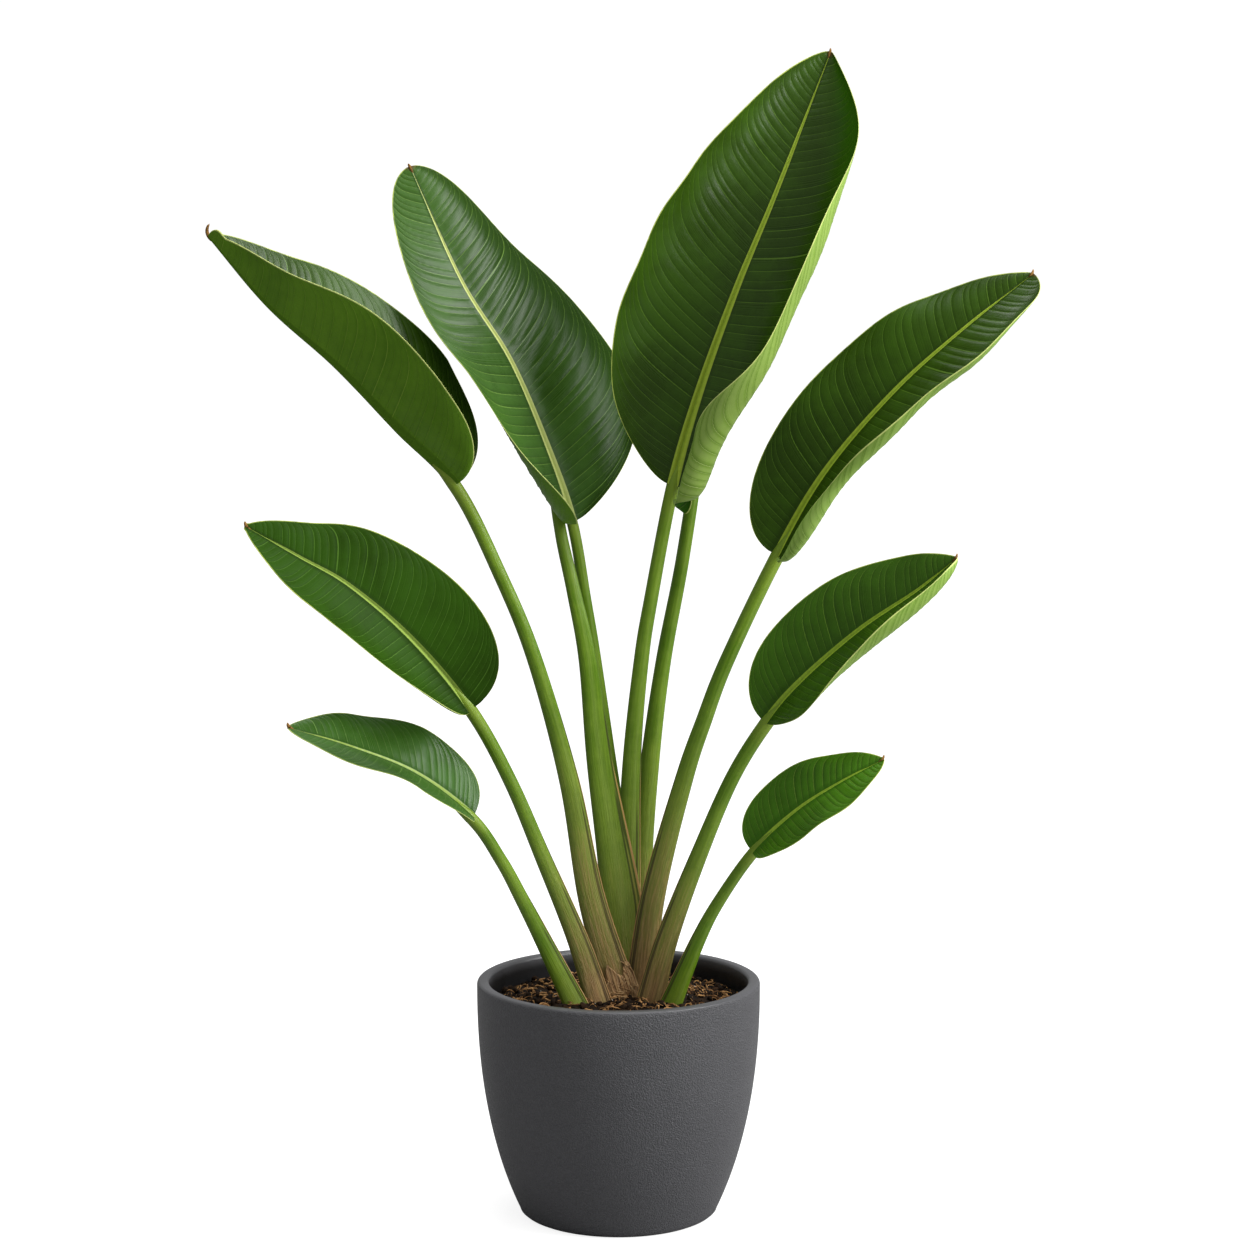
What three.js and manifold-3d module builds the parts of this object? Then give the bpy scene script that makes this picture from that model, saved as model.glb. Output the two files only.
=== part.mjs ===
// A potted bird of paradise: ten long stalks, each with one blade, rise as a fan from a bowl-shaped pot.
// Millimetres, +Z up. The origin is the middle of the pot's underside, and the fan faces -Y.
import * as THREE from "three";
import { mergeVertices } from "three/addons/utils/BufferGeometryUtils.js";
import Module from "manifold-3d";

const wasm = await Module();
wasm.setup();

const GAP = 0.3; // between pieces that touch

const POT = {
  rimRadius: 150,
  height: 250,
  lipThickness: 13,
  lipRounding: 4,
  lipDrop: 14, // from the rim to where the bowl starts to narrow
  footRadius: 100,
  footRounding: 6,
  wallThickness: 12,
  floorThickness: 16,
  bellyPull: 86, // how far the wall runs on straight down under the lip
  footPull: [30, 64], // how far, across and up, the wall leans out of the foot
  sides: 48,
  wallSteps: 7,
};

const SOIL = {
  edgeHeight: 225,
  moundHeight: 5, // how much higher it lies at the middle
  lumpHeight: 2.5,
  lumpsRound: [5, 2],
  lumpsAcross: [9, 21],
  rings: 7,
  sides: 36,
};

const STALK = {
  sides: 10,
  steps: 14,
  buried: 22, // how far it goes down into the soil
  sheathPower: 2.2, // how fast the sheath narrows into the stalk
  sheathDepth: 5, // half of it, front to back
  sheathTaper: 0.75, // how much thinner the sheath is at its open margin
  topDepth: 0.85, // the round stalk's depth over its width
  flareRise: [0.03, 0.2], // the shares of the height between which a flare opens
  flarePower: 1.5, // how fast it narrows above that
};

const BLADE = {
  thickness: 1.2,
  broadest: [0.42, 0.75], // how round the outline is towards the base and towards the tip
  ribWidth: [6, 1.2], // half of the midrib, at the base and at the tip
  ribDepth: [10, 1.6],
  ribLift: 0.35, // the share of the midrib's depth that lies above its centre line
  ribGroove: 0.12, // the channel along its upper side, as a share of its depth
  ribShare: 0.6, // the most of a half's width that the midrib takes up
  baseHalf: 5, // least half width at the base
  late: 2, // how late across its width a half turns
  pleat: 0.5, // height of the ridges between the side veins
  columns: [0.36, 0.7, 1], // places across a half, from the midrib to the margin
  turnSteps: 24, // steps of the sum that bends a half
};

const HUSK = {
  thickness: 1,
  height: 46, // above the soil
  buried: 9,
  turns: [0.7, 0.26], // where round the sheath it starts and ends
  columns: 8,
  rows: 5,
  tear: 14, // how deep its torn upper edge is notched
  tears: 2.5,
};

const COLOUR = { pot: 0x454546, soil: 0x3b281b, husk: 0x836646, stalk: 0x6b8a33, blade: 0x2f5420 };

// Each leaf's stalk follows its route from the soil to the first point of its midrib. Sheath and top are
// half widths, and the sheath's open margin lies on the left, -1, or on the right, 1. A flare widens the
// sheath at that margin. Face is the way the blade's upper side looks. Each half has its half width, the
// angle at which it leaves the midrib, how much further it has turned at its margin, how far its side veins
// lean to the tip as a share of its width, and the height, turns and start of its wave. Lists of these run
// from base to tip. A leaf with a tight roll has more columns of its own.
const LEAVES = {
  left_high: {
    route: [[4, -2, 227], [-28, -4, 335], [-52, -8, 464], [-87, -20, 593], [-122, -28, 682]],
    sheath: 19,
    top: 7,
    margin: 1,
    midrib: [[-168, -35, 775], [-225, -47, 834], [-287, -57, 899], [-354, -66, 959], [-413, -73, 1029]],
    face: [[0.6, -0.15, 0.75], [0.7, 0.1, 0.7], [0.6, 0, 0.8]],
    tip: 12,
    rows: 30,
    left: {
      half: [92, 86, 66], fold: [40, 52, 50], curl: [45, 10, 0],
      lean: [0.1, 0.1, 0.3], wave: [4, 2, 0.25],
    },
    right: {
      half: [98, 114, 88], fold: [40, 55, 50], curl: [20, 0, 0],
      lean: [0.05, 0.1, 0.3], wave: [2, 2.5, 0.6],
    },
  },
  left_tall: {
    route: [[17, 43, 216], [5, 43, 348], [-11, 38, 479], [-25, 36, 587], [-35, 36, 651]],
    sheath: 18,
    top: 6,
    margin: -1,
    midrib: [[-49, 36, 733], [-74, 34, 809], [-113, 32, 902], [-164, 36, 985], [-218, 53, 1104]],
    face: [[0.25, -1, 0.1], [0.25, -1, 0.2], [0.15, -1, 0.3]],
    tip: 8,
    rows: 30,
    left: {
      half: [102, 122, 30, 130], fold: [40, 50, 5], curl: [150, -40, 0],
      lean: [-0.2, 0.1, 0.5], wave: [1.5, 2.5, 0.1],
    },
    right: {
      half: [47, 221, 83, 122, 154], fold: [-8, -20, -6], curl: [-10, -50, -50],
      lean: [0, 0.1, 0.4], wave: [1.5, 2.5, 0.6],
    },
  },
  left_back: {
    route: [[4, 22, 221], [-8, 20, 352], [-25, 16, 482], [-35, 14, 589], [-48, 17, 660], [-61, 30, 721]],
    sheath: 18,
    top: 6,
    margin: 1,
    flare: 24,
    midrib: [[-68, 52, 776], [-67, 87, 846], [-74, 140, 910], [-90, 205, 960]],
    face: [[0, -0.9, 0.5], [0, -0.8, 0.6], [0, -0.5, 0.8]],
    tip: 4,
    rows: 16,
    left: {
      half: [32, 32, 32], fold: [15, 12, 12], curl: [10, -15, -15],
      lean: [0, 0.1, 0.3], wave: [1.5, 2.5, 0.1],
    },
    right: {
      half: [38, 40, 40], fold: [0, -6, 0], curl: [0, -12, -12],
      lean: [0, 0.1, 0.3], wave: [2, 2.5, 0.35],
    },
  },
  right_tall: {
    route: [[8, 30, 218], [10, 31, 349], [14, 30, 479], [24, 27, 586], [34, 22, 651]],
    sheath: 18,
    top: 7,
    margin: 1,
    midrib: [[57, 18, 772], [84, 20, 868], [123, 28, 976], [164, 42, 1075], [222, 62, 1223]],
    face: [[-0.1, -1, 0.1], [-0.05, -1, 0.25], [0, -1, 0.3]],
    tip: 4,
    rows: 31,
    columns: [0.3, 0.52, 0.7, 0.85, 1],
    left: {
      half: [61, 165, 60, 174, 113], fold: [10, 12, 10], curl: [20, 60, 45],
      lean: [0.12, 0.15, 0.4], wave: [1.5, 5, 0.1],
    },
    right: {
      half: [199, 85, 129, 139, 89, 233, 182, 116], fold: [5, 35, 8],
      curl: [375, 473, 238, -119, 78, 300, 50, 1, 117],
      lean: [-0.5, 0, 0.4], wave: [3, 3.5, 0.6], base: 46,
    },
  },
  right_back: {
    route: [[25, 56, 215], [23, 56, 346], [34, 56, 476], [48, 58, 583], [68, 62, 690]],
    sheath: 18,
    top: 7,
    margin: -1,
    midrib: [[84, 77, 801], [86, 110, 870], [84, 165, 940], [78, 230, 1000]],
    face: [[0, -0.9, 0.5], [0, -0.8, 0.6], [0, -0.5, 0.8]],
    tip: 4,
    rows: 16,
    left: {
      half: [50, 50, 50], fold: [15, 12, 12], curl: [10, -15, -15],
      lean: [0, 0.1, 0.3], wave: [1.5, 2.5, 0.1],
    },
    right: {
      half: [38, 40, 40], fold: [15, 12, 15], curl: [30, 10, 0],
      lean: [0, 0.1, 0.3], wave: [2, 2.5, 0.35],
    },
  },
  right_high: {
    route: [[23, 10, 224], [36, 8, 333], [69, 6, 462], [90, 4, 526], [114, 2, 590]],
    sheath: 17,
    top: 7.5,
    margin: -1,
    midrib: [[166, 0, 700], [215, -10, 787], [283, -20, 869], [351, -24, 932], [426, -20, 992]],
    face: [[-0.3, -0.9, 0.3], [-0.4, -0.85, 0.45], [-0.2, -0.8, 0.6]],
    tip: 3,
    rows: 30,
    columns: [0.42, 0.7, 0.88, 1],
    left: {
      half: [75, 64, 76, 84, 58], fold: [15, 15, 15], curl: [20, -20, -20],
      lean: [0.02, 0.1, 0.4], wave: [2.5, 3.5, 0.1],
    },
    right: {
      half: [96, 49, 61, 113, 132], fold: [30, 20, 15], curl: [304, 245, 63, 45, 154, 5], late: 4,
      lean: [-0.4, 0.1, 0.4], wave: [2.5, 3.5, 0.3],
    },
  },
  left_middle: {
    route: [[-22, -14, 230], [-43, -15, 295], [-78, -22, 382], [-113, -32, 468]],
    sheath: 14,
    top: 7,
    margin: 1,
    midrib: [[-153, -45, 544], [-209, -72, 618], [-270, -95, 676], [-321, -108, 708], [-374, -118, 740]],
    face: [[-0.1, -0.8, 0.5], [-0.1, -0.85, 0.5], [0, -0.85, 0.6]],
    tip: 5,
    rows: 24,
    left: {
      half: [54, 70, 44], fold: [15, 10, 10], curl: [110, 20, 0],
      lean: [0, 0.1, 0.3], wave: [1, 2.5, 0.1],
    },
    right: {
      half: [90, 60, 48], fold: [10, 5, 10], curl: [10, -15, -15],
      lean: [0.08, 0.1, 0.3], wave: [1.5, 2.5, 0.9],
    },
  },
  left_low: {
    route: [[-47, -26, 232], [-79, -30, 298], [-100, -38, 342], [-122, -46, 386]],
    sheath: 12.5,
    top: 6.5,
    margin: 1,
    midrib: [[-152, -60, 433], [-207, -85, 482], [-270, -110, 514], [-333, -125, 537]],
    face: [[-0.1, -0.45, 0.9], [0, -0.42, 0.9], [0.1, -0.45, 0.9]],
    tip: 4,
    rows: 18,
    left: {
      half: [52, 58, 54], fold: [20, 15, 15], curl: [10, -10, -10],
      lean: [0, 0.1, 0.3], wave: [1.5, 2.5, 0.1],
    },
    right: {
      half: [61, 56, 48], fold: [22, 20, 15], curl: [10, -10, -10],
      lean: [0.1, 0.1, 0.3], wave: [2, 2.5, 0.35],
    },
  },
  right_middle: {
    route: [[33, -13, 227], [50, -14, 292], [82, -18, 380], [118, -28, 468]],
    sheath: 15,
    top: 7.5,
    margin: -1,
    midrib: [[154, -40, 530], [189, -56, 575], [247, -74, 630], [304, -88, 672], [343, -95, 706]],
    face: [[-0.3, -0.85, 0.35], [-0.4, -0.8, 0.5], [-0.3, -0.8, 0.6]],
    tip: 4,
    rows: 24,
    left: {
      half: [51, 80, 44], fold: [15, 12, 12], curl: [20, -20, -20],
      lean: [0.06, 0.1, 0.4], wave: [1.5, 2.5, 0.1],
    },
    right: {
      half: [52, 78, 76], fold: [40, 20, 15], curl: [-10, 20, 220, 150], late: 3,
      lean: [0.3, 0.1, 0.4], wave: [1.5, 2.5, 0.35],
    },
  },
  right_low: {
    route: [[56, -24, 230], [83, -28, 296], [105, -34, 340]],
    sheath: 11.5,
    top: 6,
    margin: -1,
    midrib: [[141, -50, 396], [184, -70, 442], [227, -85, 474], [271, -95, 500]],
    face: [[-0.3, -0.7, 0.6], [-0.3, -0.7, 0.6], [-0.2, -0.7, 0.7]],
    tip: 4,
    rows: 18,
    left: {
      half: [47, 44, 36], fold: [15, 12, 12], curl: [10, -15, -15],
      lean: [0, 0.1, 0.3], wave: [1.5, 2.5, 0.1],
    },
    right: {
      half: [42, 48, 50], fold: [15, 12, 15], curl: [30, 10, 0],
      lean: [0, 0.1, 0.3], wave: [1.5, 2.5, 0.1],
    },
  },
};

const lerp = THREE.MathUtils.lerp;
const toRadians = THREE.MathUtils.degToRad;
const vector = (list) => new THREE.Vector3(...list);

// Blends control values, numbers or lists of them, along t from 0 to 1 as a Bezier curve does.
function blend(values, t) {
  const mix = (a, b) => (Array.isArray(a) ? a.map((part, i) => lerp(part, b[i], t)) : lerp(a, b, t));
  let row = values;
  while (row.length > 1) row = row.slice(1).map((next, i) => mix([...row][i], next));
  return row[0];
}

// The centre line of a whole leaf, from under the soil through the stalk and on along the midrib.
function centreLine(leaf) {
  const [low, next] = leaf.route.map(vector);
  const down = next.clone().sub(low).multiplyScalar(-STALK.buried / (next.z - low.z));
  const points = [low.clone().add(down), ...leaf.route.map(vector), ...leaf.midrib.map(vector)];
  const joint = (leaf.route.length + 1) / (points.length - 1);
  return { curve: new THREE.CatmullRomCurve3(points, false, "catmullrom", 0.5), joint, soil: low.z };
}

// A point on a stalk at t along it and at the turn round it: 0 lies at the back and a quarter on the right.
// The section is round at the top, and a flat sheath with a thin open margin at the base.
function stalkPoint(leaf, line, t, turn, reach, extra) {
  const centre = line.curve.getPoint(t * line.joint);
  const along = line.curve.getTangent(t * line.joint);
  const right = new THREE.Vector3(0, 1, 0).cross(along).normalize();
  const back = along.clone().cross(right);
  const height = THREE.MathUtils.clamp((centre.z - line.soil) / (leaf.midrib[0][2] - line.soil), 0, 1);
  const sheath = (1 - height) ** STALK.sheathPower;
  const angle = turn * 2 * Math.PI;
  const x = Math.sin(angle) * reach;
  const y = Math.cos(angle) * reach;
  const thin = 1 - (STALK.sheathTaper * sheath * (1 + leaf.margin * x)) / 2;
  const open = THREE.MathUtils.smoothstep(height, ...STALK.flareRise) * (1 - height) ** STALK.flarePower;
  const flare = (leaf.flare ?? 0) * open * Math.max(0, leaf.margin * x);
  const halfWidth = lerp(leaf.top, leaf.sheath, sheath) + flare;
  const halfDepth = lerp(leaf.top * STALK.topDepth, STALK.sheathDepth, sheath) * thin;
  return centre
    .addScaledVector(right, x * (halfWidth + extra))
    .addScaledVector(back, y * (halfDepth + extra));
}

// The stalk as a cylinder that is bent along its line and shaped by stalkPoint. Extra widens it all round.
function stalkGeometry(leaf, extra = 0) {
  const line = centreLine(leaf);
  const form = new THREE.CylinderGeometry(1, 1, 1, STALK.sides, STALK.steps);
  const spots = form.getAttribute("position");
  for (let i = 0; i < spots.count; i++) {
    const x = spots.getX(i);
    const y = -spots.getZ(i);
    const turn = Math.atan2(x, y) / (2 * Math.PI);
    const t = spots.getY(i) + 0.5;
    const point = stalkPoint(leaf, line, t, turn, Math.hypot(x, y), extra);
    spots.setXYZ(i, point.x, point.y, point.z);
  }
  return form;
}

// Half of the blade's width at s along the midrib.
function halfWidth(leaf, half, s) {
  const [base, tip] = BLADE.broadest;
  const peak = base / (base + tip);
  const outline = (s / peak) ** base * ((1 - s) / (1 - peak)) ** tip;
  const least = s < 0.5 ? half.base ?? BLADE.baseHalf : leaf.tip;
  return Math.max(blend(half.half, s) * outline, least);
}

// The blade's upper and lower point at s along the midrib and at the column across it: 0 is the midrib, and
// the margin is the last one. Side is -1 for the left half and 1 for the right half.
function bladePoints(leaf, line, side, s, column, ridge) {
  const half = side < 0 ? leaf.left : leaf.right;
  const t = line.joint + (1 - line.joint) * s;
  const centre = line.curve.getPoint(t);
  const along = line.curve.getTangent(t);
  const up = vector(blend(leaf.face, s));
  up.addScaledVector(along, -up.dot(along)).normalize();
  const across = along.clone().cross(up).multiplyScalar(side);

  const width = halfWidth(leaf, half, s);
  const depth = lerp(...BLADE.ribDepth, s);
  const rib = Math.min(lerp(...BLADE.ribWidth, s) / width, BLADE.ribShare);
  const lift = depth * BLADE.ribLift;
  if (column === 0) {
    const upper = centre.clone().addScaledVector(up, lift - depth * BLADE.ribGroove);
    return [upper, centre.clone().addScaledVector(up, lift - depth)];
  }
  const columns = leaf.columns ?? BLADE.columns;
  const q = column === 1 ? rib : lerp(rib, 1, columns[column - 2]);
  const fold = toRadians(blend(half.fold, s));
  const curl = toRadians(blend(half.curl, s));
  const late = half.late ?? BLADE.late;
  let x = 0;
  let z = 0;
  for (let i = 0; i < BLADE.turnSteps; i++) {
    const angle = fold + curl * ((q * (i + 0.5)) / BLADE.turnSteps) ** late;
    x += (Math.cos(angle) * width * q) / BLADE.turnSteps;
    z += (Math.sin(angle) * width * q) / BLADE.turnSteps;
  }
  const [height, turns, start] = half.wave;
  const swell = q ** 2 * Math.sqrt(Math.sin(Math.PI * s));
  const wave = height * swell * Math.sin(2 * Math.PI * (turns * s + start));
  const end = fold + curl * q ** late;
  const normal = up.clone().multiplyScalar(Math.cos(end)).addScaledVector(across, -Math.sin(end));
  const lean = blend(half.lean, s);
  const free = Math.max(0, q * width - leaf.top - GAP); // beyond the stalk's end
  const reach = lean > 0 ? (lean * width * (q + q * q)) / 2 : lean * free;
  const upper = centre
    .addScaledVector(across, x)
    .addScaledVector(up, z + lift)
    .addScaledVector(along, reach)
    .addScaledVector(normal, wave + ridge * Math.sin(Math.PI * q));
  return [upper, upper.clone().addScaledVector(normal, -BLADE.thickness)];
}

// A closed shell from rows of [upper point, lower point]. Both of its skins are split alike.
function shellGeometry(rows) {
  const columns = rows[0].length - 1;
  const sheet = new THREE.PlaneGeometry(1, 1, columns, rows.length - 1).index;
  const flat = rows.flat();
  const count = flat.length;
  const points = [...flat.map(([upper]) => upper), ...flat.map(([, lower]) => lower)];
  const faces = [];
  for (let i = 0; i < sheet.count; i += 3) {
    const [a, b, c] = [sheet.getX(i), sheet.getX(i + 1), sheet.getX(i + 2)];
    faces.push(a, c, b, a + count, b + count, c + count);
  }
  const width = columns + 1;
  const last = rows.length - 1;
  const border = [
    ...rows[0].keys(),
    ...rows.slice(1).map((row, i) => (i + 2) * width - 1),
    ...[...rows[0].keys()].reverse().slice(1).map((i) => last * width + i),
    ...rows.slice(1, last).map((row, i) => (last - 1 - i) * width),
  ];
  border.forEach((here, i) => {
    const next = border[(i + 1) % border.length];
    faces.push(next, here, here + count, next, here + count, next + count);
  });
  return new THREE.BufferGeometry().setFromPoints(points).setIndex(faces);
}

// One blade: a thin shell of both halves, with the midrib as a keel under it and ridges across it.
function bladeGeometry(leaf) {
  const line = centreLine(leaf);
  const length = line.curve.getLength() * (1 - line.joint);
  const columns = (leaf.columns ?? BLADE.columns).length + 1;
  const rows = Array.from({ length: leaf.rows + 1 }, (_, row) => {
    const s = Math.max(row / leaf.rows, GAP / length);
    const ridge = row === 0 || row === leaf.rows ? 0 : BLADE.pleat * (row % 2 ? 1 : -1);
    return Array.from({ length: 2 * columns + 1 }, (_, column) => {
      const side = column < columns ? -1 : 1;
      return bladePoints(leaf, line, side, s, Math.abs(column - columns), ridge);
    });
  });
  return shellGeometry(rows);
}

// A torn piece of dry sheath that wraps the front of one stalk's foot.
function huskGeometry(leaf, extra = 0) {
  const line = centreLine(leaf);
  const step = 1 / (leaf.route.length + 1); // the share of the stalk between two points of its route
  const low = step * (1 - HUSK.buried / STALK.buried);
  const rows = Array.from({ length: HUSK.rows + 1 }, (_, row) =>
    Array.from({ length: HUSK.columns + 1 }, (_, column) => {
      const across = column / HUSK.columns;
      const notch = HUSK.tear * (0.5 + 0.5 * Math.cos(2 * Math.PI * HUSK.tears * across));
      const high = step * (1 + (HUSK.height - notch) / (leaf.route[1][2] - leaf.route[0][2]));
      const t = lerp(low, high, row / HUSK.rows);
      const turn = lerp(...HUSK.turns, across);
      const outer = stalkPoint(leaf, line, t, turn, 1, GAP + HUSK.thickness + extra);
      return [outer, stalkPoint(leaf, line, t, turn, 1, GAP - extra)];
    }),
  );
  return shellGeometry(rows);
}

// The pot's wall from the lip down to the foot, as points of radius and height.
function wallCurve() {
  const { rimRadius, height, lipDrop, footRadius, footRounding, bellyPull, footPull } = POT;
  const top = height - lipDrop;
  return new THREE.CubicBezierCurve(
    new THREE.Vector2(rimRadius, top),
    new THREE.Vector2(rimRadius, top - bellyPull),
    new THREE.Vector2(footRadius + footRounding + footPull[0], footRounding + footPull[1]),
    new THREE.Vector2(footRadius + footRounding, footRounding),
  );
}

function potGeometry() {
  const { height, rimRadius, lipThickness, lipRounding, lipDrop, footRadius, footRounding } = POT;
  const outside = wallCurve().getPoints(POT.wallSteps);
  const inside = outside
    .map((point) => new THREE.Vector2(point.x - POT.wallThickness, point.y))
    .filter((point) => point.y > POT.floorThickness + footRounding);
  const inner = rimRadius - lipThickness;
  const profile = [
    new THREE.Vector2(0, 0),
    new THREE.Vector2(footRadius, 0),
    new THREE.Vector2(footRadius + footRounding * 0.7, footRounding * 0.3),
    ...outside.reverse(),
    new THREE.Vector2(rimRadius, height - lipRounding),
    new THREE.Vector2(rimRadius - lipRounding * 0.3, height - lipRounding * 0.3),
    new THREE.Vector2(rimRadius - lipRounding, height),
    new THREE.Vector2(inner + lipRounding, height),
    new THREE.Vector2(inner + lipRounding * 0.3, height - lipRounding * 0.3),
    new THREE.Vector2(inner, height - lipRounding),
    new THREE.Vector2(inner, height - lipDrop),
    ...inside.slice(1),
    new THREE.Vector2(footRadius - POT.wallThickness, POT.floorThickness),
    new THREE.Vector2(0, POT.floorThickness),
  ];
  return turned(profile, POT.sides);
}

// A profile turned about the Z axis.
function turned(profile, sides) {
  return new THREE.LatheGeometry(profile, sides).rotateX(Math.PI / 2);
}

function toSolid(geometry) {
  const bare = geometry.clone();
  bare.deleteAttribute("normal");
  bare.deleteAttribute("uv");
  const merged = mergeVertices(bare, 1e-3);
  return new wasm.Manifold(
    new wasm.Mesh({
      numProp: 3,
      vertProperties: merged.getAttribute("position").array,
      triVerts: new Uint32Array(merged.index.array),
    }),
  );
}

function toGeometry(solid) {
  const { vertProperties, triVerts, numProp } = solid.getMesh();
  const spots = [];
  for (let i = 0; i < vertProperties.length; i += numProp) spots.push(...vertProperties.subarray(i, i + 3));
  return new THREE.BufferGeometry()
    .setAttribute("position", new THREE.Float32BufferAttribute(spots, 3))
    .setIndex([...triVerts]);
}

// The soil fills the bowl, is mounded and lumpy on top, and has a plain hole for each piece in it.
function soilGeometry(standing) {
  const wall = wallCurve().getPoints(POT.wallSteps);
  const low = POT.floorThickness + POT.footRounding;
  const side = wall
    .filter((point) => point.y > low && point.y < SOIL.edgeHeight)
    .map((point) => new THREE.Vector2(point.x - POT.wallThickness - 2 * GAP, point.y));
  const edge = POT.rimRadius - POT.lipThickness - 2 * GAP;
  const surface = Array.from({ length: SOIL.rings + 1 }, (_, ring) => {
    const share = 1 - ring / SOIL.rings;
    return new THREE.Vector2(edge * share, SOIL.edgeHeight);
  });
  const profile = [
    new THREE.Vector2(0, POT.floorThickness + GAP),
    new THREE.Vector2(POT.footRadius - POT.wallThickness - 2 * GAP, POT.floorThickness + GAP),
    ...side.reverse(),
    ...surface,
  ];
  const form = turned(profile, SOIL.sides);
  const spots = form.getAttribute("position");
  for (let i = 0; i < spots.count; i++) {
    if (spots.getZ(i) < SOIL.edgeHeight - GAP) continue;
    const out = Math.hypot(spots.getX(i), spots.getY(i)) / edge;
    const round = Math.atan2(spots.getY(i), spots.getX(i));
    const waves = [0, 1].map((k) => Math.sin(SOIL.lumpsRound[k] * round + SOIL.lumpsAcross[k] * out));
    const lump = SOIL.lumpHeight * 4 * out * (1 - out) * waves[0] * waves[1];
    const mound = SOIL.moundHeight * (1 - out * out);
    spots.setZ(i, spots.getZ(i) + mound + lump);
  }
  const cut = standing.reduce((soil, piece) => soil.subtract(toSolid(piece)), toSolid(form));
  const bodies = cut.decompose().sort((a, b) => b.volume() - a.volume());
  return toGeometry(bodies[0]); // without the crumbs cut off between the stalks
}

const plant = new THREE.Group();

function add(name, geometry, colour, roughness) {
  const material = new THREE.MeshStandardMaterial({ color: colour, roughness, metalness: 0 });
  const mesh = new THREE.Mesh(geometry, material);
  mesh.name = name;
  plant.add(mesh);
}

add("pot", potGeometry(), COLOUR.pot, 0.6);
const holes = [huskGeometry(LEAVES.left_high, GAP / 2)];
for (const leaf of Object.values(LEAVES)) holes.push(stalkGeometry(leaf, GAP));
add("soil", soilGeometry(holes), COLOUR.soil, 1);
add("husk", huskGeometry(LEAVES.left_high), COLOUR.husk, 0.9);
for (const [name, leaf] of Object.entries(LEAVES)) {
  add("stalk_" + name, stalkGeometry(leaf), COLOUR.stalk, 0.45);
  add("blade_" + name, bladeGeometry(leaf), COLOUR.blade, 0.35);
}

export default plant;
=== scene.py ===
"""Potted bird of paradise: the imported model, dressed and lit for its picture.

Sizes are in millimetres and are turned to metres when a mesh is made. The leaf
table and the pot's profile repeat the named values of the part's source.
"""
import logging
import math
import random
from dataclasses import dataclass, field
from enum import Enum
from typing import ClassVar

import bmesh
import bpy
import numpy as np
from mathutils import Matrix, Vector, noise


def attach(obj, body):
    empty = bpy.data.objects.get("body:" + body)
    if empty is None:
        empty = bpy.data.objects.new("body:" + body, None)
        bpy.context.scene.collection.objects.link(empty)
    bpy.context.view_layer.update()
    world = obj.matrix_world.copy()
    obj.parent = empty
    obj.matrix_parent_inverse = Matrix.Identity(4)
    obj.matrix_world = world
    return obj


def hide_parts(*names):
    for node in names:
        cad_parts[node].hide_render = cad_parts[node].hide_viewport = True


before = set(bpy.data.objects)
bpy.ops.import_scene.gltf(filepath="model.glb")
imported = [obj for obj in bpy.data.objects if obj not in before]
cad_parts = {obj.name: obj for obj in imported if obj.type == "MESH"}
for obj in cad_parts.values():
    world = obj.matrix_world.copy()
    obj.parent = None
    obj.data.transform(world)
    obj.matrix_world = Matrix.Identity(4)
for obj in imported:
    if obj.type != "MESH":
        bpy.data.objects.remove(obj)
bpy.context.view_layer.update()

LOG = logging.getLogger("bird_of_paradise")
MM = 0.001
WELD = 1e-6
LEAF_CLOUDS = 9.0
Point = tuple[float, float, float]
Colour = tuple[float, float, float, float]
Spots = tuple[float, ...]
Range = tuple[float, float]
Profile = list[tuple[float, float]]
Socket = bpy.types.NodeSocket
Source = float | Colour | Socket
Material = bpy.types.Material
Piece = bpy.types.Object
BMesh = bmesh.types.BMesh


def paint(code: str) -> Colour:
    """Turn a screen colour into the linear colour that a shader takes.

    Args:
        code: Six hexadecimal digits, red first.

    Returns:
        Red, green, blue and a full alpha.
    """
    parts = [int(code[k:k + 2], 16) / 255 for k in (0, 2, 4)]
    red, green, blue = (p / 12.92 if p < 0.04045 else ((p + 0.055) / 1.055) ** 2.4 for p in parts)
    return (red, green, blue, 1.0)


def smooth(low: float, high: float, value: float | np.ndarray) -> float | np.ndarray:
    """Return the share, 0 to 1, that value has risen smoothly on its way from low to high."""
    share = np.clip((value - low) / (high - low), 0.0, 1.0)
    return share * share * (3 - 2 * share)


def blend(values: tuple, share: float) -> np.ndarray:
    """Read a Bezier curve whose control values are given.

    Args:
        values: Numbers or points.
        share: The place along the curve, 0 to 1.

    Returns:
        The number or point there.
    """
    left = np.asarray(values, float)
    while len(left) > 1:
        left = left[:-1] * (1 - share) + left[1:] * share
    return left[0]


def unit(arrow: np.ndarray) -> np.ndarray:
    """Scale an arrow to length 1."""
    return arrow / np.linalg.norm(arrow)


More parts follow.
